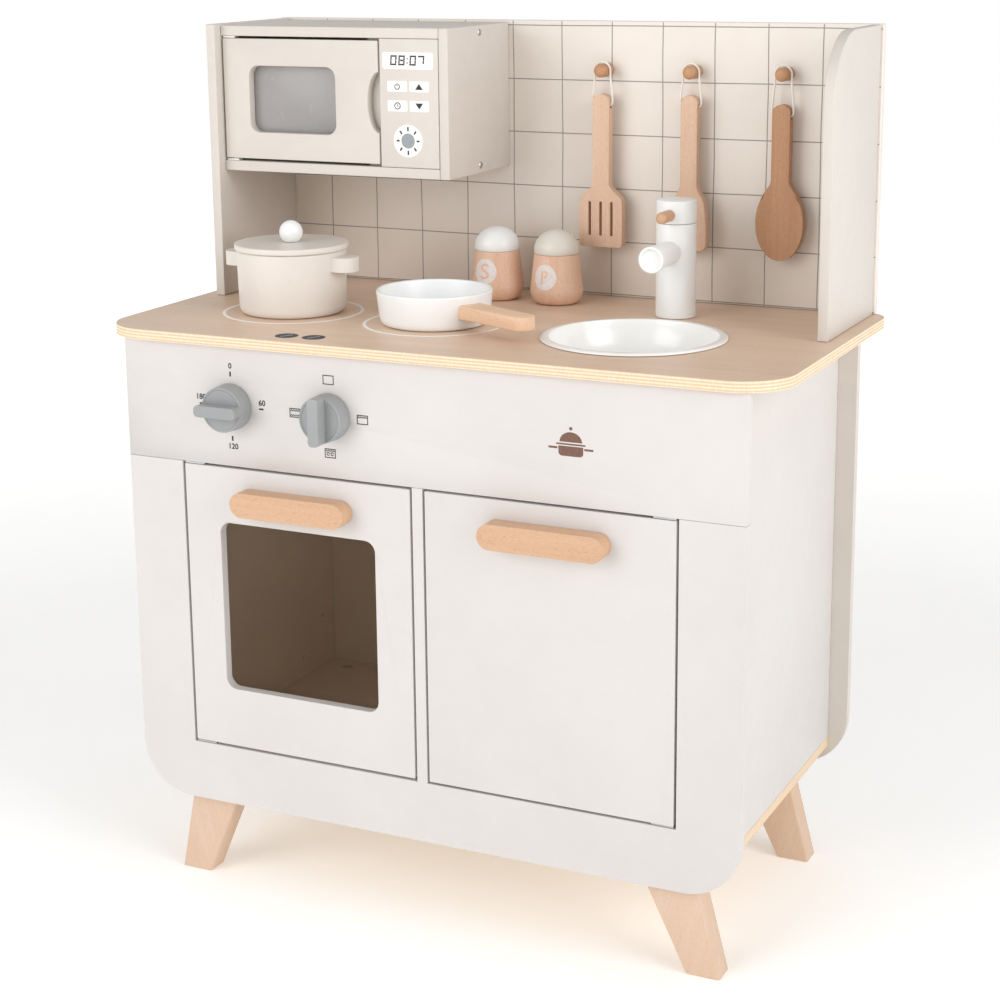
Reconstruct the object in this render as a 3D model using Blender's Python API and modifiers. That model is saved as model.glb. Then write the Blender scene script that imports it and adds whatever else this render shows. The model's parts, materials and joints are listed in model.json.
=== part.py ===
"""Toy kitchen: a child's play kitchen with an oven, a cupboard, a sink, a hob and a microwave.

Origin at the middle of the floor area, +Z up, front towards -Y. All sizes are in metres.
"""
import math

import bmesh
import bpy
from mathutils import Matrix, Vector

# ---- overall sizes -------------------------------------------------------------------
COUNTER_WIDTH = 0.610
SIDE_OVERHANG = 0.025
CARCASS_DEPTH = 0.304
COUNTER_TOP_Z = 0.4974
UPPER_TOP_Z = 0.7445
BOARD = 0.009
GAP = 0.0003

# ---- counter -------------------------------------------------------------------------
COUNTER_OVERHANG = 0.006
COUNTER_FRONT_RADIUS = 0.044
COUNTER_REAR_RADIUS = 0.022

# ---- lower cabinet -------------------------------------------------------------------
CONTROL_HEIGHT = 0.1036
FRAME_BOTTOM_Z = 0.0758
FRAME_CORNER_RADIUS = 0.048
BASE_BOARD_Z = 0.095
SIDE_PANEL_INSET = 0.017
DOOR_GAP = 0.0022
MULLION_WIDTH = 0.0094
STILE_WIDTH = 0.0539
RAIL_TOP_Z = 0.1289
CATCH_Z = 0.250
CATCH_HEIGHT = 0.014
CATCH_WIDTH = 0.040
CATCH_DEPTH = 0.012

# ---- doors ---------------------------------------------------------------------------
HINGE_INSET = 0.0095
PIN_RADIUS = 0.0020
PIN_LENGTH = 0.007
PIN_CLEARANCE = 0.0004
HINGE_PLATE = 0.0014
HINGE_PLATE_LENGTH = 0.019
OVEN_WINDOW_WIDTH = 0.150
OVEN_WINDOW_DROP = 0.0486
OVEN_WINDOW_RISE = 0.0529
OVEN_WINDOW_RADIUS = 0.010
PANE_THICKNESS = 0.002
PANE_LAP = 0.009
HANDLE_LENGTH = 0.109
HANDLE_HEIGHT = 0.0215
HANDLE_DEPTH = 0.016
HANDLE_DROP = 0.0285
HANDLE_EDGE = 0.003
HINGE_PLATE_INSET = 0.002

# ---- knobs ---------------------------------------------------------------------------
KNOB_RADIUS = 0.0198
KNOB_DEPTH = 0.016
GRIP_LENGTH = 0.041
GRIP_WIDTH = 0.0135
GRIP_HEIGHT = 0.011
OVEN_KNOB_SHARE = -0.5721
TIMER_KNOB_SHARE = -0.2623
KNOB_DROP = 0.0516
KNOB_EDGE = 0.0015
GRIP_SUNK = 0.004
SHAFT_RADIUS = 0.0035
SHAFT_LENGTH = 0.017
SHAFT_CLEARANCE = 0.0006

# ---- upper part ----------------------------------------------------------------------
UPPER_INSET = 0.0133
TILE_PANEL_INSET = 0.0115
UPPER_DEPTH = 0.1325
UPPER_SIDE_DROP = 0.0006
UPPER_ARC_RADIUS = 0.058
MICROWAVE_INSET = 0.0097
MICROWAVE_DROP = 0.0020
MICROWAVE_HEIGHT = 0.130
MICROWAVE_RIGHT_SHARE = -0.1744
CONTROL_STRIP_WIDTH = 0.0577
MICROWAVE_DOOR_LOW_GAP = 0.0025
MICROWAVE_DOOR_TOP_GAP = 0.0023
MICROWAVE_DOOR_SIDE_GAP = 0.0016
MICROWAVE_HINGE_INSET = 0.0085
MICROWAVE_WINDOW_WIDTH = 0.089
MICROWAVE_WINDOW_HEIGHT = 0.0595
MICROWAVE_WINDOW_OFFSET = 0.0267
MICROWAVE_WINDOW_RADIUS = 0.0095
MICROWAVE_PANE_LAP = 0.007
MICROWAVE_HINGE_PLATE_LENGTH = 0.012
FINGER_CUT_HEIGHT = 0.053
FINGER_CUT_DEPTH = 0.011

# ---- legs ----------------------------------------------------------------------------
LEG_FOOT_INSET = 0.038
LEG_FOOT_WIDTH = 0.0292
LEG_TOP_INSET = 0.0704
LEG_TOP_WIDTH = 0.051
LEG_FOOT_SHIFT = 0.0048
LEG_TOP_SHIFT = 0.0020
LEG_THICKNESS = 0.022
LEG_FRONT_SETBACK = 0.0005
LEG_REAR_SETBACK = 0.0262
LEG_EDGE = 0.0015

# ---- sink and tap --------------------------------------------------------------------
SINK_SHARE = 0.4607
SINK_Y = -0.0193
SINK_RIM_RADIUS = 0.0772
SINK_BOWL_RADIUS = 0.0688
SINK_DEPTH = 0.032
SINK_WALL = 0.0018
SINK_RIM_HEIGHT = 0.0026
TAP_SHARE = 0.4502
TAP_Y = 0.0860
TAP_RADIUS = 0.0174
TAP_BODY_HEIGHT = 0.0812
TAP_CAP_HEIGHT = 0.0196
SPIGOT_RADIUS = 0.005
SPIGOT_HEIGHT = 0.011
SPOUT_RISE = 0.0573
SPOUT_REACH = 0.0603
SPOUT_END_RADIUS = 0.0113
SPOUT_ROOT_RADIUS = 0.0098
LEVER_RISE = 0.0892
LEVER_REACH = 0.0390
LEVER_RADIUS = 0.0050
SOCKET_DEPTH = 0.006

# ---- pegs and utensils ---------------------------------------------------------------
PEG_DROP = 0.0425
PEG_SHARES = (0.1462, 0.4193, 0.6931)
PEG_DOME = 0.0035
PEG_RADIUS = 0.006
PEG_LENGTH = 0.0214
UTENSIL_CLEARANCE = 0.00815
UTENSIL_THICKNESS = 0.009
UTENSIL_HANDLE_WIDTH = 0.016
CORD_DIAMETER = 0.0020
CORD_BEND = 0.0040
CORD_HOLE_CLEARANCE = 0.0003
CORD_HOLE_DROP = 0.0105

# ---- cookware ------------------------------------------------------------------------
VESSEL_FOOT_HEIGHT = 0.005
VESSEL_FOOT_FLARE = 0.0006
POT_SHARE = -0.6010
POT_Y = -0.0189
POT_BASE_RADIUS = 0.0465
POT_TOP_RADIUS = 0.0483
POT_HEIGHT = 0.0558
POT_WALL = 0.004
LID_OVERHANG = 0.0017
LID_THICKNESS = 0.0052
LID_PLUG_DEPTH = 0.004
LID_CLEARANCE = 0.0008
LID_KNOB_RADIUS = 0.0103
POT_HANDLE_REACH = 0.0170
POT_HANDLE_WIDTH = 0.0250
POT_HANDLE_HEIGHT = 0.0125
POT_HANDLE_RISE = 0.0451
PAN_SHARE = -0.1354
PAN_Y = -0.0214
PAN_BASE_RADIUS = 0.0465
PAN_RIM_RADIUS = 0.0499
PAN_HEIGHT = 0.0296
PAN_WALL = 0.0035
PAN_HANDLE_END = 0.127
PAN_HANDLE_WIDTH = 0.0225
PAN_HANDLE_HEIGHT = 0.012
PAN_HANDLE_RISE = 0.0163
PAN_HANDLE_TURN = math.radians(-25.5)

# ---- shakers -------------------------------------------------------------------------
SALT_SHARE = -0.1433
SALT_Y = 0.1086
PEPPER_SHARE = 0.0518
PEPPER_Y = 0.1071
SHAKER_BASE_RADIUS = 0.0165
SHAKER_BELLY_RADIUS = 0.0238
SHAKER_NECK_RADIUS = 0.0203
SHAKER_BODY_HEIGHT = 0.0447
SHAKER_CAP_HEIGHT = 0.0208

# ---- derived places ------------------------------------------------------------------
CARCASS_WIDTH = COUNTER_WIDTH - 2 * SIDE_OVERHANG
SEAM_Z = COUNTER_TOP_Z - BOARD - GAP - CONTROL_HEIGHT
SIDE_PANEL_OUTER_X = CARCASS_WIDTH / 2 - SIDE_PANEL_INSET
STILE_INNER_X = CARCASS_WIDTH / 2 - STILE_WIDTH
UPPER_OUTER_X = COUNTER_WIDTH / 2 - UPPER_INSET
TILE_PANEL_HALF_WIDTH = COUNTER_WIDTH / 2 - TILE_PANEL_INSET
MICROWAVE_TOP_Z = UPPER_TOP_Z - MICROWAVE_DROP
MICROWAVE_BOTTOM_Z = MICROWAVE_TOP_Z - MICROWAVE_HEIGHT
KNOB_STANDOUT = KNOB_DEPTH + GRIP_HEIGHT + GAP
REAR_Y = (CARCASS_DEPTH + KNOB_STANDOUT) / 2
FRONT_Y = REAR_Y - CARCASS_DEPTH
FRONT_INNER_Y = FRONT_Y + BOARD + GAP
REAR_INNER_Y = REAR_Y - BOARD - GAP
COUNTER_LOW_Z = COUNTER_TOP_Z - BOARD
STANDING_Z = COUNTER_TOP_Z + GAP
HALF_COUNTER = COUNTER_WIDTH / 2
HALF_CARCASS = CARCASS_WIDTH / 2
OVEN_KNOB_X = OVEN_KNOB_SHARE * HALF_COUNTER
TIMER_KNOB_X = TIMER_KNOB_SHARE * HALF_COUNTER
MICROWAVE_RIGHT_X = MICROWAVE_RIGHT_SHARE * HALF_COUNTER
SINK_X = SINK_SHARE * HALF_COUNTER
TAP_X = TAP_SHARE * HALF_COUNTER
POT_X = POT_SHARE * HALF_COUNTER
LID_RADIUS = POT_TOP_RADIUS + LID_OVERHANG
PAN_X = PAN_SHARE * HALF_COUNTER
SALT_X = SALT_SHARE * HALF_COUNTER
PEPPER_X = PEPPER_SHARE * HALF_COUNTER
PEG_X = tuple(share * HALF_COUNTER for share in PEG_SHARES)
LEG_FOOT_X = HALF_CARCASS - LEG_FOOT_INSET
LEG_TOP_X = HALF_CARCASS - LEG_TOP_INSET
KNOB_Z = COUNTER_LOW_Z - KNOB_DROP
HANDLE_Z = SEAM_Z - HANDLE_DROP
PEG_Z = UPPER_TOP_Z - PEG_DROP
SPOUT_Z = STANDING_Z + SPOUT_RISE
LEVER_Z = STANDING_Z + LEVER_RISE
POT_HANDLE_Z = STANDING_Z + POT_HANDLE_RISE
PAN_HANDLE_Z = STANDING_Z + PAN_HANDLE_RISE
FLOOR_Z = BASE_BOARD_Z + BOARD
DOOR_LOW_Z = RAIL_TOP_Z + DOOR_GAP
DOOR_HIGH_Z = SEAM_Z + GAP - DOOR_GAP
OVEN_WINDOW_LOW_Z = DOOR_LOW_Z + OVEN_WINDOW_RISE
OVEN_WINDOW_HIGH_Z = DOOR_HIGH_Z - OVEN_WINDOW_DROP
DOOR_OUTER_X = STILE_INNER_X - DOOR_GAP
DOOR_INNER_X = MULLION_WIDTH / 2 + DOOR_GAP
DOOR_CENTRE_X = (DOOR_OUTER_X + DOOR_INNER_X) / 2
HINGE_X = DOOR_OUTER_X - HINGE_INSET
HINGE_Y = FRONT_Y + BOARD / 2
DOOR_PLATES_Z = (RAIL_TOP_Z + GAP + HINGE_PLATE / 2, SEAM_Z - HINGE_PLATE / 2)
UPPER_FRONT_Y = REAR_INNER_Y - UPPER_DEPTH
MICROWAVE_FRONT_Y = UPPER_FRONT_Y + MICROWAVE_INSET
MICROWAVE_LEFT_X = -UPPER_OUTER_X + BOARD + GAP
MICROWAVE_INNER_RIGHT_X = MICROWAVE_RIGHT_X - BOARD - GAP
MICROWAVE_DOOR_LEFT_X = MICROWAVE_LEFT_X + MICROWAVE_DOOR_SIDE_GAP
MICROWAVE_DOOR_RIGHT_X = MICROWAVE_INNER_RIGHT_X - CONTROL_STRIP_WIDTH - MICROWAVE_DOOR_SIDE_GAP
MICROWAVE_DOOR_LOW_Z = MICROWAVE_BOTTOM_Z + BOARD + MICROWAVE_DOOR_LOW_GAP
MICROWAVE_DOOR_HIGH_Z = MICROWAVE_TOP_Z - BOARD - MICROWAVE_DOOR_TOP_GAP
MICROWAVE_DOOR_MID_Z = (MICROWAVE_DOOR_LOW_Z + MICROWAVE_DOOR_HIGH_Z) / 2
MICROWAVE_HINGE_X = MICROWAVE_DOOR_LEFT_X + MICROWAVE_HINGE_INSET
MICROWAVE_HINGE_Y = MICROWAVE_FRONT_Y + BOARD / 2
UTENSIL_Y = REAR_INNER_Y - UTENSIL_CLEARANCE - UTENSIL_THICKNESS / 2

ROUND_STEPS = 32
SMALL_STEPS = 16
CORNER_STEPS = 6
FILL_SCALE = 1000.0

PARTS = None
CUTTERS = None


# ---- general helpers -----------------------------------------------------------------
def clear_scene():
    for item in list(bpy.data.objects):
        bpy.data.objects.remove(item, do_unlink=True)


def new_collection(name):
    group = bpy.data.collections.new(name)
    bpy.context.scene.collection.children.link(group)
    return group


def material(name, colour, roughness, metallic=0.0, alpha=1.0):
    surface = bpy.data.materials.new(name)
    surface.use_nodes = True
    shader = surface.node_tree.nodes["Principled BSDF"]
    shader.inputs["Base Color"].default_value = (*colour, 1.0)
    shader.inputs["Roughness"].default_value = roughness
    shader.inputs["Metallic"].default_value = metallic
    shader.inputs["Alpha"].default_value = alpha
    return surface


def add_object(name, mesh, location, surface, group=None, turn=(0, 0, 0)):
    item = bpy.data.objects.new(name, mesh)
    item.location = location
    item.rotation_euler = turn
    (group or PARTS).objects.link(item)
    if surface:
        mesh.materials.append(surface)
    return item


def mesh_from(item):
    """The evaluated mesh of an object drawn at FILL_SCALE, with its loose seams welded."""
    graph = bpy.context.evaluated_depsgraph_get()
    mesh = bpy.data.meshes.new_from_object(item.evaluated_get(graph))
    work = bmesh.new()
    work.from_mesh(mesh)
    bmesh.ops.remove_doubles(work, verts=work.verts, dist=0.01)
    open_edges = [edge for edge in work.edges if edge.is_boundary]
    if open_edges:
        bmesh.ops.holes_fill(work, edges=open_edges, sides=0)
    bmesh.ops.dissolve_limit(work, angle_limit=0.002, verts=work.verts, edges=work.edges)
    bmesh.ops.recalc_face_normals(work, faces=work.faces)
    work.to_mesh(mesh)
    work.free()
    return mesh


def smooth(item, angle=35):
    item.data.shade_smooth()
    item.data.set_sharp_from_angle(angle=math.radians(angle))


def hide_cutter(item):
    item.hide_render = True
    item.display_type = "WIRE"


def boolean(item, other, operation="DIFFERENCE"):
    step = item.modifiers.new(operation.title(), "BOOLEAN")
    step.operation = operation
    step.solver = "EXACT"
    step.object = other
    hide_cutter(other)


def bevel(item, width, segments=3, angle=40):
    step = item.modifiers.new("Rounded edges", "BEVEL")
    step.width = width
    step.segments = segments
    step.limit_method = "ANGLE"
    step.angle_limit = math.radians(angle)
    return step


# ---- outlines ------------------------------------------------------------------------
def arc(centre_u, centre_v, radius, start, end, steps):
    points = []
    for i in range(steps + 1):
        angle = math.radians(start + (end - start) * i / steps)
        points.append((centre_u + radius * math.cos(angle), centre_v + radius * math.sin(angle)))
    return points


def circle(centre_u, centre_v, radius, steps=ROUND_STEPS):
    return arc(centre_u, centre_v, radius, 0, 360, steps)[:-1]


def rounded_box(low_u, high_u, low_v, high_v, radii=(0, 0, 0, 0), steps=CORNER_STEPS):
    """A rectangle with corner radii: low-low, high-low, high-high, low-high."""
    centres = (
        (low_u, low_v, 1, 1, 180),
        (high_u, low_v, -1, 1, 270),
        (high_u, high_v, -1, -1, 0),
        (low_u, high_v, 1, -1, 90),
    )
    points = []
    for (u, v, side_u, side_v, start), radius in zip(centres, radii):
        if radius == 0:
            points.append((u, v))
            continue
        centre_u = u + side_u * radius
        centre_v = v + side_v * radius
        points += arc(centre_u, centre_v, radius, start, start + 90, steps)
    return points


def stadium(centre_u, centre_v, length, height, steps=12):
    """A bar outline with half-round ends."""
    radius = height / 2
    reach = length / 2 - radius
    right = arc(centre_u + reach, centre_v, radius, -90, 90, steps)
    return right + arc(centre_u - reach, centre_v, radius, 90, 270, steps)


def board(name, loops, thickness, facing, location, surface, start=0.0, group=None):
    """A flat board: the first loop is its outline and the others are its openings.

    The board fills from start to start + thickness along +Y, +Z or +X from its location.
    """
    shape = bpy.data.curves.new(name, "CURVE")
    shape.dimensions = "2D"
    shape.fill_mode = "BOTH"
    shape.extrude = thickness / 2 * FILL_SCALE
    for loop in loops:
        line = shape.splines.new("POLY")
        line.points.add(len(loop) - 1)
        for point, (u, v) in zip(line.points, loop):
            point.co = (u * FILL_SCALE, v * FILL_SCALE, 0, 1)
        line.use_cyclic_u = True
    outline = bpy.data.objects.new(name + "_outline", shape)
    bpy.context.scene.collection.objects.link(outline)
    mesh = mesh_from(outline)
    bpy.data.objects.remove(outline, do_unlink=True)
    mesh.name = name
    mesh.transform(Matrix.Scale(1 / FILL_SCALE, 4))
    middle = start + thickness / 2
    along = -middle if facing == "front" else middle
    mesh.transform(Matrix.Translation((0, 0, along)))
    turn = Matrix.Identity(4)
    if facing != "flat":
        turn = Matrix.Rotation(math.pi / 2, 4, "X")
    if facing == "side":
        turn = Matrix.Rotation(math.pi / 2, 4, "Z") @ turn
    mesh.transform(turn)
    mesh.materials.clear()
    return add_object(name, mesh, location, surface, group)


def turned(name, profile, location, surface, steps=ROUND_STEPS, group=None):
    """A turned piece: the profile runs from the axis at the top down the outer side."""
    work = bmesh.new()
    verts = [work.verts.new((radius, 0, height)) for radius, height in profile]
    for first, second in zip(verts, verts[1:]):
        work.edges.new((first, second))
    mesh = bpy.data.meshes.new(name)
    work.to_mesh(mesh)
    work.free()
    item = add_object(name, mesh, location, surface, group)
    screw = item.modifiers.new("Turned", "SCREW")
    screw.steps = steps
    screw.render_steps = steps
    screw.use_merge_vertices = True
    screw.merge_threshold = 0.000005
    screw.use_smooth_shade = True
    return item


def rod(name, radius, low, high, axis, centre, surface, steps=SMALL_STEPS, tip=None, group=None):
    """A round rod along +X, -Y or +Z between two distances from its centre point."""
    end_radius = radius if tip is None else tip
    work = bmesh.new()
    bmesh.ops.create_cone(
        work, cap_ends=True, segments=steps, radius1=radius, radius2=end_radius, depth=high - low
    )
    mesh = bpy.data.meshes.new(name)
    work.to_mesh(mesh)
    work.free()
    mesh.transform(Matrix.Translation((0, 0, (low + high) / 2)))
    if axis == "x":
        mesh.transform(Matrix.Rotation(math.pi / 2, 4, "Y"))
    if axis == "y":
        mesh.transform(Matrix.Rotation(math.pi / 2, 4, "X"))
    return add_object(name, mesh, centre, surface, group)


def block(name, size, location, surface, group=None):
    work = bmesh.new()
    bmesh.ops.create_cube(work, size=1.0)
    bmesh.ops.scale(work, vec=Vector(size), verts=work.verts)
    mesh = bpy.data.meshes.new(name)
    work.to_mesh(mesh)
    work.free()
    return add_object(name, mesh, location, surface, group)


# ---- surfaces ------------------------------------------------------------------------
def make_surfaces():
    return {
        "white": material("White lacquer", (0.86, 0.83, 0.79), 0.5),
        "beige": material("Beige lacquer", (0.75, 0.67, 0.58), 0.55),
        "tile": material("Tile print", (0.69, 0.62, 0.54), 0.5),
        "plywood": material("Birch plywood", (0.72, 0.55, 0.38), 0.5),
        "beech": material("Beech", (0.79, 0.55, 0.36), 0.5),
        "utensil": material("Utensil beech", (0.66, 0.40, 0.25), 0.5),
        "pane": material("Clear pane", (0.75, 0.72, 0.70), 0.1, alpha=0.35),
        "steel": material("Zinc plate", (0.62, 0.61, 0.60), 0.35, metallic=1.0),
        "plastic": material("White plastic", (0.85, 0.85, 0.84), 0.4),
        "knob": material("Grey plastic", (0.39, 0.42, 0.43), 0.45),
        "enamel": material("White enamel", (0.88, 0.87, 0.85), 0.3),
        "cream": material("Cream lacquer", (0.84, 0.80, 0.72), 0.4),
        "cord": material("Cotton cord", (0.88, 0.86, 0.82), 0.9),
    }


# ---- lower cabinet -------------------------------------------------------------------
def make_countertop(looks):
    half = COUNTER_WIDTH / 2
    front = FRONT_Y - COUNTER_OVERHANG
    radii = (COUNTER_FRONT_RADIUS, COUNTER_FRONT_RADIUS, COUNTER_REAR_RADIUS, COUNTER_REAR_RADIUS)
    outline = rounded_box(-half, half, front, REAR_Y, radii, steps=12)
    cutout = circle(SINK_X, SINK_Y, SINK_BOWL_RADIUS + SINK_WALL + SHAFT_CLEARANCE)
    place = (0, 0, COUNTER_LOW_Z)
    board("countertop", [outline, cutout], BOARD, "flat", place, looks["plywood"])


def make_control_panel(looks):
    low = SEAM_Z + GAP
    outline = rounded_box(-HALF_CARCASS, HALF_CARCASS, low, COUNTER_LOW_Z - GAP)
    hole = SHAFT_RADIUS + SHAFT_CLEARANCE
    oven_hole = circle(OVEN_KNOB_X, KNOB_Z, hole, SMALL_STEPS)
    timer_hole = circle(TIMER_KNOB_X, KNOB_Z, hole, SMALL_STEPS)
    loops = [outline, oven_hole, timer_hole]
    board("control_panel", loops, BOARD, "front", (0, FRONT_Y, 0), looks["white"])


def make_front_frame(looks):
    """Left stile, middle post and right stile standing on one bottom rail."""
    radius = FRAME_CORNER_RADIUS
    post = MULLION_WIDTH / 2
    low = FRAME_BOTTOM_Z
    points = arc(-HALF_CARCASS + radius, low + radius, radius, 180, 270, CORNER_STEPS)
    points += arc(HALF_CARCASS - radius, low + radius, radius, 270, 360, CORNER_STEPS)
    points += [(HALF_CARCASS, SEAM_Z), (STILE_INNER_X, SEAM_Z), (STILE_INNER_X, RAIL_TOP_Z)]
    points += [(post, RAIL_TOP_Z), (post, SEAM_Z), (-post, SEAM_Z), (-post, RAIL_TOP_Z)]
    points += [(-STILE_INNER_X, RAIL_TOP_Z), (-STILE_INNER_X, SEAM_Z), (-HALF_CARCASS, SEAM_Z)]
    board("front_frame", [points], BOARD, "front", (0, FRONT_Y, 0), looks["white"])


def make_lower_carcass(looks):
    low = FLOOR_Z + GAP
    high = COUNTER_LOW_Z - GAP
    depth = REAR_INNER_Y - FRONT_INNER_Y
    height = high - low
    side = rounded_box(0, depth, 0, height)
    inner = SIDE_PANEL_OUTER_X - BOARD
    board("left_side_panel", [side], BOARD, "side", (-SIDE_PANEL_OUTER_X, FRONT_INNER_Y, low),
          looks["white"])
    board("right_side_panel", [side], BOARD, "side", (inner, FRONT_INNER_Y, low), looks["white"])
    make_divider(looks, depth, height, low)
    floor = rounded_box(-SIDE_PANEL_OUTER_X, SIDE_PANEL_OUTER_X, 0, depth)
    board("bottom_board", [floor], BOARD, "flat", (0, FRONT_INNER_Y, BASE_BOARD_Z),
          looks["plywood"])
    radii = (FRAME_CORNER_RADIUS, FRAME_CORNER_RADIUS, 0, 0)
    back = rounded_box(-HALF_CARCASS, HALF_CARCASS, FRAME_BOTTOM_Z, high, radii)
    board("lower_back_panel", [back], BOARD, "front", (0, REAR_Y - BOARD, 0), looks["beige"])


def make_divider(looks, depth, height, low):
    """The panel between the oven and the cupboard, notched in front for the door catch."""
    notch_low = CATCH_Z - CATCH_HEIGHT / 2 - GAP - low
    notch_high = CATCH_Z + CATCH_HEIGHT / 2 + GAP - low
    notch_depth = CATCH_DEPTH + 2 * GAP
    points = [(0, 0), (depth, 0), (depth, height), (0, height)]
    points += [(0, notch_high), (notch_depth, notch_high), (notch_depth, notch_low), (0, notch_low)]
    board("centre_divider", [points], BOARD, "side", (-BOARD / 2, FRONT_INNER_Y, low),
          looks["beige"])
    middle_y = FRONT_INNER_Y + GAP + CATCH_DEPTH / 2
    size = (CATCH_WIDTH, CATCH_DEPTH, CATCH_HEIGHT)
    catch = block("door_catch", size, (0, middle_y, CATCH_Z), looks["plastic"])
    bevel(catch, 0.001, segments=2)


def make_legs(looks):
    top = BASE_BOARD_Z - GAP
    foot = LEG_FOOT_WIDTH / 2
    head = LEG_TOP_WIDTH / 2
    front = FRONT_INNER_Y + LEG_FRONT_SETBACK
    rear = REAR_Y - BOARD - LEG_REAR_SETBACK - LEG_THICKNESS
    for row, row_y in (("front", front), ("rear", rear)):
        for side, sign in (("left", -1), ("right", 1)):
            foot_x = sign * LEG_FOOT_X + LEG_FOOT_SHIFT
            head_x = sign * LEG_TOP_X + LEG_TOP_SHIFT
            points = [(foot_x - foot, 0), (foot_x + foot, 0), (head_x + head, top),
                      (head_x - head, top)]
            leg = board(f"leg_{row}_{side}", [points], LEG_THICKNESS, "front", (0, row_y, 0),
                        looks["beech"])
            bevel(leg, LEG_EDGE, segments=2)


# ---- doors ---------------------------------------------------------------------------
def door_pin_holes(door, name, location, low, high):
    """Round sockets in the top and bottom edges of a door, on its hinge axis."""
    radius = PIN_RADIUS + PIN_CLEARANCE
    depth = PIN_LENGTH + 2 * PIN_CLEARANCE
    for place, bottom, top in (("low", low - BOARD, low + depth), ("high", high - depth, high + BOARD)):
        cutter = rod(f"{name}_{place}_socket", radius, bottom, top, "z", location, None,
                     group=CUTTERS)
        boolean(door, cutter)


def hinge_pair(name, axis, low, high, plates, length, inset, side, surface):
    """Thin plates above and below a door, each with a pin that stands in the door's edge."""
    axis_x, axis_y = axis
    plate_low, plate_high = plates
    centre_x = side * (length / 2 - inset + GAP)
    half_pin = PIN_LENGTH / 2
    for place, plate_z, pin_z in (
        ("bottom", plate_low, low + half_pin),
        ("top", plate_high, high - half_pin),
    ):
        plate = block(f"{name}_{place}", (length, BOARD - HINGE_PLATE_INSET, HINGE_PLATE),
                      (axis_x, axis_y, plate_z), surface)
        plate.data.transform(Matrix.Translation((centre_x, 0, 0)))
        offset = pin_z - plate_z
        overlap = abs(offset) - half_pin
        start = offset - half_pin - (overlap if offset > 0 else 0)
        end = offset + half_pin + (overlap if offset < 0 else 0)
        pin = rod(f"{name}_{place}_pin", PIN_RADIUS, start, end, "z",
                  (axis_x, axis_y, plate_z), None, group=CUTTERS)
        boolean(plate, pin, "UNION")


def make_oven_door(looks):
    pivot = (-HINGE_X, HINGE_Y, 0)
    low = DOOR_LOW_Z
    left = -DOOR_OUTER_X + HINGE_X
    right = -DOOR_INNER_X + HINGE_X
    outline = rounded_box(left, right, low, DOOR_HIGH_Z)
    centre = HINGE_X - DOOR_CENTRE_X
    half = OVEN_WINDOW_WIDTH / 2
    bottom, top = OVEN_WINDOW_LOW_Z, OVEN_WINDOW_HIGH_Z
    radii = (OVEN_WINDOW_RADIUS,) * 4
    window = rounded_box(centre - half, centre + half, bottom, top, radii)
    door = board("oven_door", [outline, window], BOARD, "front", pivot, looks["white"],
                 start=-BOARD / 2)
    door_pin_holes(door, "oven_door", pivot, low, DOOR_HIGH_Z)
    lap = PANE_LAP
    pane = rounded_box(centre - half - lap, centre + half + lap, bottom - lap, top + lap)
    board("oven_window", [pane], PANE_THICKNESS, "front", pivot, looks["pane"],
          start=BOARD / 2 + GAP)
    make_handle("oven_handle", pivot, centre, looks)
    hinge_pair("oven_hinge", (-HINGE_X, HINGE_Y), low, DOOR_HIGH_Z, DOOR_PLATES_Z,
               HINGE_PLATE_LENGTH, HINGE_INSET, 1, looks["steel"])


def make_cupboard_door(looks):
    pivot = (HINGE_X, HINGE_Y, 0)
    low = DOOR_LOW_Z
    outline = rounded_box(DOOR_INNER_X - HINGE_X, DOOR_OUTER_X - HINGE_X, low, DOOR_HIGH_Z)
    door = board("cupboard_door", [outline], BOARD, "front", pivot, looks["white"],
                 start=-BOARD / 2)
    door_pin_holes(door, "cupboard_door", pivot, low, DOOR_HIGH_Z)
    make_handle("cupboard_handle", pivot, DOOR_CENTRE_X - HINGE_X, looks)
    hinge_pair("cupboard_hinge", (HINGE_X, HINGE_Y), low, DOOR_HIGH_Z, DOOR_PLATES_Z,
               HINGE_PLATE_LENGTH, HINGE_INSET, -1, looks["steel"])


def make_handle(name, pivot, centre, looks):
    """A bar with half-round ends, screwed flat on the door."""
    outline = stadium(centre, HANDLE_Z, HANDLE_LENGTH, HANDLE_HEIGHT)
    handle = board(name, [outline], HANDLE_DEPTH, "front", pivot, looks["beech"],
                   start=-BOARD / 2 - GAP - HANDLE_DEPTH)
    bevel(handle, HANDLE_EDGE, segments=2)
    smooth(handle)


# ---- knobs ---------------------------------------------------------------------------
def make_knob(name, centre_x, turn, looks):
    """A round knob with a raised grip bar and a shaft through the control panel."""
    place = (centre_x, FRONT_Y - GAP, KNOB_Z)
    edge = KNOB_EDGE
    profile = [
        (0, KNOB_DEPTH),
        (KNOB_RADIUS - edge, KNOB_DEPTH),
        (KNOB_RADIUS - edge * 0.3, KNOB_DEPTH - edge * 0.3),
        (KNOB_RADIUS, KNOB_DEPTH - edge),
        (KNOB_RADIUS, 0),
        (SHAFT_RADIUS, 0),
        (SHAFT_RADIUS, -SHAFT_LENGTH),
        (0, -SHAFT_LENGTH),
    ]
    knob = turned(name, profile, place, looks["knob"])
    sunk = GRIP_SUNK
    grip = board(name + "_grip", [stadium(0, 0, GRIP_LENGTH, GRIP_WIDTH)], GRIP_HEIGHT + sunk,
                 "flat", place, None, start=KNOB_DEPTH - sunk, group=CUTTERS)
    bevel(grip, KNOB_EDGE, segments=2)
    knob.rotation_euler = (math.pi / 2, 0, 0)
    grip.rotation_euler = (math.pi / 2, turn, 0)
    boolean(knob, grip, "UNION")


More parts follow.
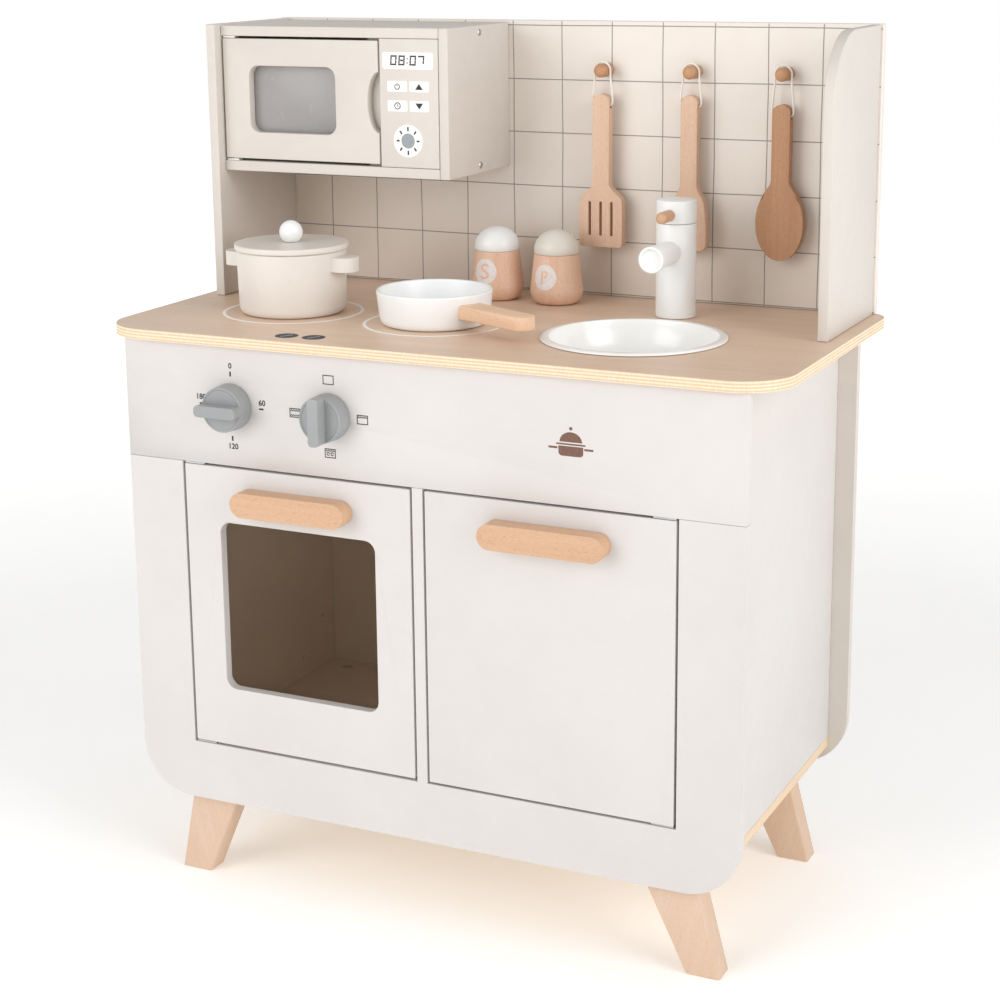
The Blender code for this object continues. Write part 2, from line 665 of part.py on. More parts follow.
# ---- upper part ----------------------------------------------------------------------
def make_upper_panels(looks):
    top = UPPER_TOP_Z - UPPER_SIDE_DROP - STANDING_Z
    left = rounded_box(0, UPPER_DEPTH, 0, top)
    place = (-UPPER_OUTER_X, UPPER_FRONT_Y, STANDING_Z)
    board("upper_left_panel", [left], BOARD, "side", place, looks["beige"])
    radii = (0, 0, 0, UPPER_ARC_RADIUS)
    right = rounded_box(0, UPPER_DEPTH, 0, top, radii, steps=14)
    place = (UPPER_OUTER_X - BOARD, UPPER_FRONT_Y, STANDING_Z)
    board("upper_right_panel", [right], BOARD, "side", place, looks["beige"])
    back = rounded_box(-TILE_PANEL_HALF_WIDTH, TILE_PANEL_HALF_WIDTH, STANDING_Z, UPPER_TOP_Z)
    board("tile_panel", [back], BOARD, "front", (0, REAR_Y - BOARD, 0), looks["tile"])


def make_microwave_case(looks):
    depth = REAR_INNER_Y - MICROWAVE_FRONT_Y
    shelf = rounded_box(MICROWAVE_LEFT_X, MICROWAVE_INNER_RIGHT_X, 0, depth)
    top_place = (0, MICROWAVE_FRONT_Y, MICROWAVE_TOP_Z - BOARD)
    low_place = (0, MICROWAVE_FRONT_Y, MICROWAVE_BOTTOM_Z)
    board("microwave_top_board", [shelf], BOARD, "flat", top_place, looks["beige"])
    board("microwave_bottom_board", [shelf], BOARD, "flat", low_place, looks["beige"])
    side = rounded_box(0, depth, MICROWAVE_BOTTOM_Z, MICROWAVE_TOP_Z)
    side_place = (MICROWAVE_RIGHT_X - BOARD, MICROWAVE_FRONT_Y, 0)
    board("microwave_side_panel", [side], BOARD, "side", side_place, looks["beige"])
    left = MICROWAVE_INNER_RIGHT_X - CONTROL_STRIP_WIDTH
    low = MICROWAVE_BOTTOM_Z + BOARD + GAP
    high = MICROWAVE_TOP_Z - BOARD - GAP
    strip = rounded_box(left, MICROWAVE_INNER_RIGHT_X - GAP, low, high)
    board("microwave_control_panel", [strip], BOARD, "front", (0, MICROWAVE_FRONT_Y, 0),
          looks["beige"])


def microwave_door_outline(left, right, low, high):
    """A rectangle whose free edge has a half-oval finger cut."""
    points = [(left, low), (right, low)]
    for step in range(13):
        angle = math.radians(-90 + 180 * step / 12)
        inward = FINGER_CUT_DEPTH * math.cos(angle)
        height = MICROWAVE_DOOR_MID_Z + FINGER_CUT_HEIGHT / 2 * math.sin(angle)
        points.append((right - inward, height))
    return points + [(right, high), (left, high)]


def make_microwave_door(looks):
    pivot = (MICROWAVE_HINGE_X, MICROWAVE_HINGE_Y, 0)
    left = MICROWAVE_DOOR_LEFT_X - MICROWAVE_HINGE_X
    right = MICROWAVE_DOOR_RIGHT_X - MICROWAVE_HINGE_X
    low = MICROWAVE_DOOR_LOW_Z
    high = MICROWAVE_DOOR_HIGH_Z
    outline = microwave_door_outline(left, right, low, high)
    window_left = left + MICROWAVE_WINDOW_OFFSET
    window_right = window_left + MICROWAVE_WINDOW_WIDTH
    half = MICROWAVE_WINDOW_HEIGHT / 2
    radii = (MICROWAVE_WINDOW_RADIUS,) * 4
    window = rounded_box(window_left, window_right, MICROWAVE_DOOR_MID_Z - half,
                         MICROWAVE_DOOR_MID_Z + half, radii)
    door = board("microwave_door", [outline, window], BOARD, "front", pivot, looks["beige"],
                 start=-BOARD / 2)
    door_pin_holes(door, "microwave_door", pivot, low, high)
    lap = MICROWAVE_PANE_LAP
    pane = rounded_box(window_left - lap, window_right + lap, MICROWAVE_DOOR_MID_Z - half - lap,
                       MICROWAVE_DOOR_MID_Z + half + lap)
    board("microwave_window", [pane], PANE_THICKNESS, "front", pivot, looks["pane"],
          start=BOARD / 2 + GAP)
    low_plate = MICROWAVE_BOTTOM_Z + BOARD + GAP + HINGE_PLATE / 2
    high_plate = MICROWAVE_TOP_Z - BOARD - GAP - HINGE_PLATE / 2
    hinge_pair("microwave_hinge", (MICROWAVE_HINGE_X, MICROWAVE_HINGE_Y), low, high,
               (low_plate, high_plate), MICROWAVE_HINGE_PLATE_LENGTH, MICROWAVE_HINGE_INSET, 1,
               looks["plastic"])


# ---- sink and tap --------------------------------------------------------------------
def make_sink(looks):
    """A round bowl that hangs by its rim in the counter's cut-out."""
    lip = SINK_RIM_HEIGHT
    bowl = SINK_BOWL_RADIUS
    depth = SINK_DEPTH
    wall = SINK_WALL
    inner = [
        (0, -depth),
        (bowl * 0.55, -depth),
        (bowl * 0.78, -depth * 0.93),
        (bowl * 0.92, -depth * 0.70),
        (bowl, -depth * 0.25),
        (bowl + 0.001, lip - 0.0006),
    ]
    rim = [
        (bowl + 0.0026, lip),
        (SINK_RIM_RADIUS - 0.0015, lip - 0.0004),
        (SINK_RIM_RADIUS, lip * 0.45),
        (SINK_RIM_RADIUS, 0),
        (bowl + wall, 0),
    ]
    outer = [
        (bowl + wall, -depth * 0.25),
        (bowl * 0.92 + wall, -depth * 0.72),
        (bowl * 0.78 + wall * 0.6, -depth * 0.95 - wall * 0.6),
        (bowl * 0.55, -depth - wall),
        (0, -depth - wall),
    ]
    turned("sink_bowl", inner + rim + outer, (SINK_X, SINK_Y, STANDING_Z), looks["enamel"])


def make_tap(looks):
    """Upright body, turning cap with a wooden lever, and a straight spout over the bowl."""
    radius = TAP_RADIUS
    height = TAP_BODY_HEIGHT
    profile = [
        (0, height + SPIGOT_HEIGHT),
        (SPIGOT_RADIUS, height + SPIGOT_HEIGHT),
        (SPIGOT_RADIUS, height),
        (radius - 0.0006, height),
        (radius, height - 0.0006),
        (radius, 0.0006),
        (radius - 0.0006, 0),
        (0, 0),
    ]
    place = (TAP_X, TAP_Y, STANDING_Z)
    body = turned("faucet_body", profile, place, looks["enamel"])
    socket_start = radius - SOCKET_DEPTH
    spout_place = (TAP_X, TAP_Y, SPOUT_Z)
    cutter = rod("spout_socket", SPOUT_ROOT_RADIUS * 0.7 + GAP, socket_start, radius + 0.01, "y",
                 spout_place, None, steps=20, group=CUTTERS)
    boolean(body, cutter)
    make_spout(looks, spout_place, socket_start)
    make_tap_cap(looks, height)


def make_spout(looks, place, socket_start):
    """The spout's narrow root stands in the body; its shoulder follows the round body."""
    length = SPOUT_REACH
    root = SPOUT_ROOT_RADIUS
    end = SPOUT_END_RADIUS
    start = TAP_RADIUS * 0.5
    profile = [
        (0, length - 0.004),
        (end - 0.0032, length - 0.004),
        (end - 0.0026, length),
        (end - 0.0008, length),
        (end, length - 0.0012),
        (root, start),
        (0, start),
    ]
    spout = turned("faucet_spout", profile, place, looks["enamel"], steps=24)
    spout.rotation_euler = (math.pi / 2, 0, 0)
    cutter = rod("spout_body_cutter", TAP_RADIUS + GAP, -0.05, 0.05, "z", place, None,
                 steps=ROUND_STEPS, group=CUTTERS)
    boolean(spout, cutter)
    dowel = rod("spout_dowel", root * 0.7, socket_start + GAP, TAP_RADIUS + 0.004, "y", place,
                None, steps=20, group=CUTTERS)
    boolean(spout, dowel, "UNION")


def make_tap_cap(looks, body_height):
    radius = TAP_RADIUS
    bottom = STANDING_Z + body_height + 0.0004
    high = TAP_CAP_HEIGHT
    hole = SPIGOT_RADIUS + PIN_CLEARANCE
    deep = SPIGOT_HEIGHT + PIN_CLEARANCE
    profile = [
        (0, high),
        (radius - 0.0012, high),
        (radius - 0.0003, high - 0.0003),
        (radius, high - 0.0012),
        (radius, 0.0006),
        (radius - 0.0006, 0),
        (hole, 0),
        (hole, deep),
        (0, deep),
    ]
    cap = turned("faucet_cap", profile, (TAP_X, TAP_Y, bottom), looks["enamel"])
    lever_place = (TAP_X, TAP_Y, LEVER_Z)
    start = TAP_RADIUS - SOCKET_DEPTH
    cutter = rod("lever_socket", LEVER_RADIUS + GAP, start, TAP_RADIUS + 0.01, "y", lever_place,
                 None, group=CUTTERS)
    boolean(cap, cutter)
    tip = LEVER_RADIUS
    lever_profile = [
        (0, LEVER_REACH),
        (tip * 0.6, LEVER_REACH - tip * 0.12),
        (tip * 0.92, LEVER_REACH - tip * 0.45),
        (tip, LEVER_REACH - tip * 0.9),
        (tip, start + GAP),
        (0, start + GAP),
    ]
    lever = turned("faucet_lever", lever_profile, lever_place, looks["beech"], SMALL_STEPS)
    lever.rotation_euler = (math.pi / 2, 0, 0)


# ---- pegs, utensils and cords --------------------------------------------------------
def make_pegs(looks):
    for name, peg_x in zip(("left", "middle", "right"), PEG_X):
        radius = PEG_RADIUS
        profile = [(0, PEG_LENGTH)]
        for step in range(1, 6):
            angle = math.radians(90 - 18 * step)
            profile.append((radius * math.cos(angle), PEG_LENGTH - PEG_DOME
                            + PEG_DOME * math.sin(angle)))
        profile += [(radius, 0), (0, 0)]
        peg = turned(f"peg_{name}", profile, (peg_x, REAR_INNER_Y, PEG_Z), looks["beech"],
                     SMALL_STEPS)
        peg.rotation_euler = (math.pi / 2, 0, 0)


def blend_curve(start, end, steps):
    """Half-cosine steps from one (half width, height) to another."""
    points = []
    for i in range(steps + 1):
        part = i / steps
        ease = (1 - math.cos(math.pi * part)) / 2
        points.append((start[0] + (end[0] - start[0]) * ease, start[1] + (end[1] - start[1]) * part))
    return points


def mirror_outline(right_side):
    """Closes a right-hand side, listed from top to bottom, with its mirror image."""
    left_side = [(-u, v) for u, v in reversed(right_side) if u > 0.00001]
    return list(reversed(right_side + left_side))


def handle_side(top_v, neck_v):
    """Right-hand side of a handle with a rounded top end."""
    half = UTENSIL_HANDLE_WIDTH / 2
    drop = half * 0.85
    points = []
    for step in range(7):
        angle = math.radians(90 - 15 * step)
        points.append((half * math.cos(angle), top_v - drop + drop * math.sin(angle)))
    return points + [(half, neck_v)]


def turner_outline(top_v):
    blade = 0.0205
    low = -0.157
    side = handle_side(top_v, -0.1)
    side += blend_curve((UTENSIL_HANDLE_WIDTH / 2, -0.100), (blade, -0.116), 5)[1:]
    side += [(blade + 0.0004, -0.135), (blade, low + 0.004)]
    side += arc(blade - 0.003, low + 0.003, 0.003, 0, -90, 4)
    return mirror_outline(side + [(0, low)])


def cut_turner_slots(tool):
    """Three upright slots through the turner's blade."""
    for number, centre in enumerate((-0.0105, 0.0, 0.0105)):
        slot = stadium(-0.1315, 0, 0.031, 0.0026, steps=6)
        upright = [(centre - v, u) for u, v in slot]
        cutter = board(f"turner_slot_{number}", [upright], 0.03, "front", tool.location, None,
                       start=-0.015, group=CUTTERS)
        boolean(tool, cutter)


def spatula_outline(top_v):
    """A solid blade that widens downwards and ends in a shallow curve."""
    half = UTENSIL_HANDLE_WIDTH / 2
    side = handle_side(top_v, -0.097)
    side += blend_curve((half, -0.097), (0.0152, -0.116), 5)[1:]
    side += [(0.0168, -0.128), (0.0172, -0.140)]
    side += arc(0.0172 - 0.007, -0.1495, 0.007, 0, -75, 5)
    return mirror_outline(side + [(0, -0.1578)])


def spoon_outline(top_v):
    """A pointed-oval bowl below a straight handle."""
    half = UTENSIL_HANDLE_WIDTH / 2
    side = handle_side(top_v, -0.090)
    side += blend_curve((half, -0.090), (0.0165, -0.108), 5)[1:]
    centre = -0.1275
    for step in range(1, 13):
        angle = math.radians(55 - 145 * step / 12)
        side.append((0.0214 * math.cos(angle), centre + 0.0325 * math.sin(angle)))
    return mirror_outline([point for point in side if point[0] > 0.0001] + [(0, centre - 0.0325)])


def cord_route(hole_drop):
    """Out of one side of the handle, up over the peg and back into the other side."""
    half = UTENSIL_HANDLE_WIDTH / 2
    bend = CORD_BEND
    start_x = half - 0.0025
    out_x = start_x + bend
    wrap = PEG_RADIUS + CORD_DIAMETER / 2 + GAP
    right = [(0.0008, hole_drop), (0.0030, hole_drop), (start_x, hole_drop)]
    for step in range(1, 6):
        angle = math.radians(-90 + 18 * step)
        right.append((start_x + bend * math.cos(angle), hole_drop + bend + bend * math.sin(angle)))
    low = hole_drop + bend
    for step in range(1, 9):
        part = step / 9
        ease = (1 - math.cos(math.pi * part)) / 2
        right.append((out_x + (wrap - out_x) * ease, low * (1 - part)))
    for step in range(0, 6):
        angle = math.radians(90 * step / 6)
        right.append((wrap * math.cos(angle), wrap * math.sin(angle)))
    left = [(-u, v) for u, v in reversed(right)]
    return right + [(0, wrap)] + left


def make_cord(name, location, hole_drop, looks):
    shape = bpy.data.curves.new(name, "CURVE")
    shape.dimensions = "3D"
    shape.bevel_depth = CORD_DIAMETER / 2
    shape.bevel_resolution = 2
    shape.render_resolution_u = 0
    shape.use_fill_caps = True
    route = cord_route(hole_drop)
    line = shape.splines.new("POLY")
    line.points.add(len(route) - 1)
    for point, (u, v) in zip(line.points, route):
        point.co = (u, 0, v, 1)
    cord = bpy.data.objects.new(name, shape)
    cord.location = location
    shape.materials.append(looks["cord"])
    PARTS.objects.link(cord)


def make_utensil(name, outline, peg_x, top_v, cord_name, looks):
    """A flat utensil that hangs on a peg; its origin is the middle of the peg."""
    pivot = (peg_x, UTENSIL_Y, PEG_Z)
    tool = board(name, [outline], UTENSIL_THICKNESS, "front", pivot, looks["utensil"],
                 start=-UTENSIL_THICKNESS / 2)
    hole_drop = top_v - CORD_HOLE_DROP
    centre = (peg_x, UTENSIL_Y, PEG_Z + hole_drop)
    half = UTENSIL_HANDLE_WIDTH / 2
    hole = CORD_DIAMETER / 2 + CORD_HOLE_CLEARANCE
    flare = 0.0031
    inner = half - 0.0026
    outer = half + 0.0004
    profile = [(0, outer), (flare, outer), (hole, inner), (hole, -inner), (flare, -outer),
               (0, -outer)]
    bore = turned(f"{name}_bore", profile, centre, None, SMALL_STEPS, CUTTERS)
    bore.rotation_euler = (0, math.pi / 2, 0)
    boolean(tool, bore)
    make_cord(cord_name, pivot, hole_drop, looks)
    return tool


def make_utensils(looks):
    turner = make_utensil("slotted_turner", turner_outline(-0.0205), PEG_X[0], -0.0205,
                          "turner_cord", looks)
    cut_turner_slots(turner)
    make_utensil("spatula", spatula_outline(-0.0195), PEG_X[1], -0.0195, "spatula_cord", looks)
    make_utensil("spoon", spoon_outline(-0.0255), PEG_X[2], -0.0255, "spoon_cord", looks)


# ---- cookware ------------------------------------------------------------------------
def vessel_profile(base, rim, height, wall):
    """Inner side from the axis up to the rim, then down the outer side."""
    edge = wall / 2
    inner_base = base - wall
    inner_rim = rim - wall
    return [
        (0, wall + 0.001),
        (inner_base - 0.003, wall + 0.001),
        (inner_base, wall + 0.004),
        (inner_rim, height - edge * 0.6),
        (inner_rim + edge * 0.5, height),
        (rim - edge * 0.5, height),
        (rim, height - edge * 0.6),
        (base + VESSEL_FOOT_FLARE, VESSEL_FOOT_HEIGHT),
        (base - 0.001, 0.0015),
        (base - 0.0035, 0),
        (0, 0),
    ]


def wall_seat(name, place, base, rim, height):
    """A cutter that follows a vessel's sloping wall, a gap away from it."""
    slope = (rim - base - VESSEL_FOOT_FLARE) / (height - VESSEL_FOOT_HEIGHT)
    low = base + VESSEL_FOOT_FLARE + GAP - slope * VESSEL_FOOT_HEIGHT
    return rod(name, low, 0, height, "z", place, None, steps=ROUND_STEPS,
               tip=low + slope * height, group=CUTTERS)


def make_pot(looks):
    place = (POT_X, POT_Y, STANDING_Z)
    profile = vessel_profile(POT_BASE_RADIUS, POT_TOP_RADIUS, POT_HEIGHT, POT_WALL)
    turned("pot_body", profile, place, looks["cream"])
    for side, sign in (("left", -1), ("right", 1)):
        make_pot_handle(f"pot_handle_{side}", sign, looks)
    make_lid(looks)


def make_pot_handle(name, sign, looks):
    half = POT_HANDLE_WIDTH / 2
    outer = POT_TOP_RADIUS + POT_HANDLE_REACH
    radius = 0.011
    inner = POT_TOP_RADIUS - 0.004
    if sign > 0:
        outline = rounded_box(inner, outer, -half, half, (0, radius, radius, 0))
    else:
        outline = rounded_box(-outer, -inner, -half, half, (radius, 0, 0, radius))
    handle = board(name, [outline], POT_HANDLE_HEIGHT, "flat", (POT_X, POT_Y, POT_HANDLE_Z),
                   looks["cream"], start=-POT_HANDLE_HEIGHT / 2)
    bevel(handle, 0.0012, segments=2)
    place = (POT_X, POT_Y, STANDING_Z)
    cutter = wall_seat(f"{name}_seat", place, POT_BASE_RADIUS, POT_TOP_RADIUS, POT_HEIGHT)
    boolean(handle, cutter)
    smooth(handle)


def make_lid(looks):
    """A flat lid with a plug that keeps it centred, and a ball to lift it by."""
    plug = POT_TOP_RADIUS - POT_WALL - LID_CLEARANCE
    thick = LID_THICKNESS
    bottom = STANDING_Z + POT_HEIGHT + GAP
    profile = [
        (0, thick),
        (LID_RADIUS - 0.001, thick),
        (LID_RADIUS, thick - 0.001),
        (LID_RADIUS, 0.001),
        (LID_RADIUS - 0.001, 0),
        (plug, 0),
        (plug - 0.001, -LID_PLUG_DEPTH),
        (0, -LID_PLUG_DEPTH),
    ]
    turned("pot_lid", profile, (POT_X, POT_Y, bottom), looks["cream"])
    foot_angle = 55
    radius = LID_KNOB_RADIUS
    sunk = radius * math.sin(math.radians(foot_angle))
    ball = []
    for step in range(10):
        angle = math.radians(90 - (90 + foot_angle) * step / 9)
        ball.append((radius * math.cos(angle), sunk + radius * math.sin(angle)))
    ball[0] = (0, ball[0][1])
    ball.append((0, 0))
    knob_z = bottom + thick + GAP
    turned("pot_lid_knob", ball, (POT_X, POT_Y, knob_z), looks["enamel"], 20)


def make_pan(looks):
    place = (PAN_X, PAN_Y, STANDING_Z)
    profile = vessel_profile(PAN_BASE_RADIUS, PAN_RIM_RADIUS, PAN_HEIGHT, PAN_WALL)
    turned("pan_body", profile, place, looks["enamel"])
    half = PAN_HANDLE_WIDTH / 2
    outline = [
        (PAN_BASE_RADIUS - 0.006, -half),
        (PAN_HANDLE_END - 0.006, -half + 0.001),
        (PAN_HANDLE_END, -half + 0.006),
        (PAN_HANDLE_END, half - 0.006),
        (PAN_HANDLE_END - 0.006, half - 0.001),
        (PAN_BASE_RADIUS - 0.006, half),
    ]
    handle_place = (PAN_X, PAN_Y, PAN_HANDLE_Z)
    handle = board("pan_handle", [outline], PAN_HANDLE_HEIGHT, "flat", handle_place,
                   looks["beech"], start=-PAN_HANDLE_HEIGHT / 2)
    handle.rotation_euler = (0, 0, PAN_HANDLE_TURN)
    bevel(handle, 0.0015, segments=2, angle=50)
    cutter = wall_seat("pan_handle_seat", place, PAN_BASE_RADIUS, PAN_RIM_RADIUS, PAN_HEIGHT)
    boolean(handle, cutter)


def make_shaker(name, place, cap_surface, looks):
    """A turned wooden body with a domed cap."""
    belly = SHAKER_BELLY_RADIUS
    neck = SHAKER_NECK_RADIUS
    base = SHAKER_BASE_RADIUS
    high = SHAKER_BODY_HEIGHT
    profile = [
        (0, high),
        (neck - 0.0005, high),
        (neck, high - 0.0005),
        (neck + (belly - neck) * 0.5, high * 0.62),
        (belly - 0.0004, high * 0.36),
        (belly, high * 0.24),
        (belly - 0.0015, high * 0.12),
        (belly - 0.0045, high * 0.03),
        (base, 0),
        (0, 0),
    ]
    turned(f"{name}_shaker_body", profile, place, looks["utensil"], 24)
    cap = [(0, SHAKER_CAP_HEIGHT)]
    for step in range(1, 7):
        angle = math.radians(90 - 82 * step / 6)
        straight = 0.003
        cap.append((neck * math.cos(angle) * 0.995,
                    straight + (SHAKER_CAP_HEIGHT - straight) * math.sin(angle)))
    cap += [(neck, 0.001), (neck - 0.0006, 0), (0, 0)]
    cap_place = (place[0], place[1], place[2] + high + GAP)
    turned(f"{name}_shaker_cap", cap, cap_place, cap_surface, 24)


def build():
    global PARTS, CUTTERS
    clear_scene()
    PARTS = new_collection("Toy kitchen")
    CUTTERS = new_collection("Cutters")
    looks = make_surfaces()
    make_countertop(looks)
    make_control_panel(looks)
    make_front_frame(looks)
    make_lower_carcass(looks)
    make_legs(looks)
    make_oven_door(looks)
    make_cupboard_door(looks)
    make_knob("oven_knob", OVEN_KNOB_X, 0, looks)
    make_knob("timer_knob", TIMER_KNOB_X, math.pi / 2, looks)
    make_upper_panels(looks)
    make_microwave_case(looks)
    make_microwave_door(looks)
    make_sink(looks)
    make_tap(looks)
    make_pegs(looks)
    make_utensils(looks)
    make_pot(looks)
    make_pan(looks)
    make_shaker("salt", (SALT_X, SALT_Y, STANDING_Z), looks["enamel"], looks)
    make_shaker("pepper", (PEPPER_X, PEPPER_Y, STANDING_Z), looks["cream"], looks)


build()
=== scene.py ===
"""Looks of the toy kitchen: finished pieces, procedural materials, floor, light and camera.

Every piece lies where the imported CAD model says. All sizes are in metres. Outlines are lists of
(u, v) points in the plane of a face, and turned profiles are lists of (radius, height) points.
"""
import json
import math
import random

import bmesh
import bpy
from mathutils import Matrix, Vector


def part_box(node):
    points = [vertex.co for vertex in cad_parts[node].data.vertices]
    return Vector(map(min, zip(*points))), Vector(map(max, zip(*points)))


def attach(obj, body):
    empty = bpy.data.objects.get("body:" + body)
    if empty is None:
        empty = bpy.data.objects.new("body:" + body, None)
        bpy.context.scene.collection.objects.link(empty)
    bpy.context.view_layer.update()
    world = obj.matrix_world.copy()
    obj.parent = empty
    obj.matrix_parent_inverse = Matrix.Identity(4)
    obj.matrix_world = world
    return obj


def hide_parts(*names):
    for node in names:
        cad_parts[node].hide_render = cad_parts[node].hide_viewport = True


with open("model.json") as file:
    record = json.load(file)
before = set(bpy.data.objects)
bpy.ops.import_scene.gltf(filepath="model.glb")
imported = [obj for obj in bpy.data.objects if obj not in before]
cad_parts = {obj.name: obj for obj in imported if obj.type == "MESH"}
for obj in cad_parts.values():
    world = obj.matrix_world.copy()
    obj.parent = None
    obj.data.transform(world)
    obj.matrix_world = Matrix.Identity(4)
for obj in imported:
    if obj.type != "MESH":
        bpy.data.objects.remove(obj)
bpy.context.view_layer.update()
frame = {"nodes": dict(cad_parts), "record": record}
NODES = frame["nodes"]

FILL_SCALE = 1000.0
PRINT_HEIGHT = 0.00006
PRINT_SINK = 0.00004
OVERPRINT = 0.00002
EDGE = 0.0007
WELD = 0.000002
ROUND_STEPS = 96


# ---- small helpers -------------------------------------------------------------------
def low(node):
    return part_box(node)[0]


def high(node):
    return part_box(node)[1]


def middle(node):
    first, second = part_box(node)
    return (first + second) / 2


def foot(node):
    """The centre of a part's underside."""
    first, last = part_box(node)
    return ((first.x + last.x) / 2, (first.y + last.y) / 2, first.z)


def tint(code):
    """Linear colour of a six-digit sRGB code."""
    values = []
    for start in (0, 2, 4):
        value = int(code[start:start + 2], 16) / 255
        values.append(value / 12.92 if value <= 0.04045 else ((value + 0.055) / 1.055) ** 2.4)
    return (*values, 1.0)


def put(item, body, slot_name, *nodes):
    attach(item, body)
    if nodes:
        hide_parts(*nodes)
    return item


# ---- material helpers ----------------------------------------------------------------
def add(tree, kind, inputs=None, **settings):
    node = tree.nodes.new("ShaderNode" + kind)
    for key, value in settings.items():
        setattr(node, key, value)
    for key, value in (inputs or {}).items():
        if isinstance(value, bpy.types.NodeSocket):
            tree.links.new(value, node.inputs[key])
        else:
            node.inputs[key].default_value = value
    return node


def blank(name, **sockets):
    surface = bpy.data.materials.new(name)
    surface.use_nodes = True
    tree = surface.node_tree
    shader = tree.nodes["Principled BSDF"]
    for key, value in sockets.items():
        shader.inputs[key.replace("_", " ")].default_value = value
    return surface, tree, shader


def place_of(tree, scale=(1, 1, 1), turn=0.0, axis="Z_AXIS"):
    """Object coordinates, turned about an axis and then stretched."""
    point = add(tree, "TexCoord").outputs["Object"]
    if turn:
        spin = add(tree, "VectorRotate", {"Vector": point, "Angle": turn}, rotation_type=axis)
        point = spin.outputs["Vector"]
    return add(tree, "Mapping", {"Vector": point, "Scale": scale}).outputs["Vector"]


def noise(tree, point, scale, detail=2.0, rough=0.5, distortion=0.0):
    inputs = {"Vector": point, "Scale": scale, "Detail": detail, "Roughness": rough,
              "Distortion": distortion}
    return add(tree, "TexNoise", inputs).outputs["Fac"]


def spread(tree, value, from_low, from_high, to_low=0.0, to_high=1.0):
    inputs = {"Value": value, "From Min": from_low, "From Max": from_high, "To Min": to_low,
              "To Max": to_high}
    return add(tree, "MapRange", inputs).outputs["Result"]


def maths(tree, operation, first, second=0.0):
    return add(tree, "Math", {0: first, 1: second}, operation=operation).outputs[0]


def blend(tree, amount, first, second):
    inputs = {0: amount, 6: first, 7: second}
    return add(tree, "Mix", inputs, data_type="RGBA").outputs[2]


def two_tone(tree, amount, light, dark):
    return blend(tree, amount, tint(light), tint(dark))


def uneven(tree, value, roughness, less, more):
    """A gloss that wavers about a roughness."""
    return spread(tree, value, 0.3, 0.7, roughness - less, roughness + more)


def coat_with(tree, shader, colour, gloss):
    tree.links.new(colour, shader.inputs["Base Color"])
    tree.links.new(gloss, shader.inputs["Roughness"])


def bump(tree, shader, height, strength, distance):
    inputs = {"Height": height, "Strength": strength, "Distance": distance}
    relief = add(tree, "Bump", inputs)
    tree.links.new(relief.outputs["Normal"], shader.inputs["Normal"])


# ---- materials -----------------------------------------------------------------------
def lacquer(name, light, dark, roughness=0.48, coat=0.0, peel=0.10):
    """Sprayed paint on board: faint clouding, orange peel and uneven sheen."""
    surface, tree, shader = blank(name, Coat_Weight=coat, Coat_Roughness=0.25)
    point = place_of(tree)
    cloud = noise(tree, point, 6.0, 4.0, 0.6)
    mist = noise(tree, point, 60.0, 3.0)
    amount = maths(tree, "ADD", spread(tree, cloud, 0.35, 0.65, 0.0, 0.75),
                   spread(tree, mist, 0.3, 0.7, 0.0, 0.25))
    speck = spread(tree, noise(tree, point, 1500.0, 1.0), 0.70, 0.82, 0.0, 0.25)
    colour = blend(tree, speck, two_tone(tree, amount, light, dark), tint(dark))
    coat_with(tree, shader, colour,
              uneven(tree, noise(tree, point, 220.0, 3.0), roughness, 0.05, 0.06))
    skin = maths(tree, "ADD", noise(tree, point, 700.0, 2.0),
                 spread(tree, noise(tree, point, 45.0, 2.0), 0.0, 1.0, 0.0, 0.8))
    bump(tree, shader, skin, peel, 0.0004)
    return surface


def wood(name, light, dark, fleck, along="x", turn=0.0, axis="Z_AXIS", roughness=0.5, coat=0.0,
         rings=55.0, contrast=1.0):
    """Beech: soft growth bands along the grain, fine fibres and short dark flecks."""
    surface, tree, shader = blank(name, Coat_Weight=coat, Coat_Roughness=0.3)

    def grain(long_scale, cross_scale, *settings):
        scale = [cross_scale] * 3
        scale["xyz".index(along)] = long_scale
        return noise(tree, place_of(tree, tuple(scale), turn, axis), 1.0, *settings)

    bands = grain(3.0, rings, 3.0, 0.55, 0.6)
    fibres = grain(22.0, 1100.0, 3.0, 0.6)
    veil = grain(9.0, 190.0, 2.0, 0.5)
    dashes = grain(330.0, 2300.0, 1.0, 0.4)
    amount = maths(tree, "ADD", spread(tree, bands, 0.30, 0.70, 0.0, 0.55 * contrast),
                   spread(tree, fibres, 0.30, 0.72, 0.0, 0.30 * contrast))
    amount = maths(tree, "ADD", amount, spread(tree, veil, 0.35, 0.75, 0.0, 0.25 * contrast))
    marks = spread(tree, dashes, 0.60, 0.70, 0.0, 0.55)
    colour = blend(tree, marks, two_tone(tree, amount, light, dark), tint(fleck))
    coat_with(tree, shader, colour, uneven(tree, fibres, roughness, 0.06, 0.08))
    relief = maths(tree, "SUBTRACT", fibres, maths(tree, "MULTIPLY", marks, 0.6))
    bump(tree, shader, relief, 0.16, 0.00025)
    return surface


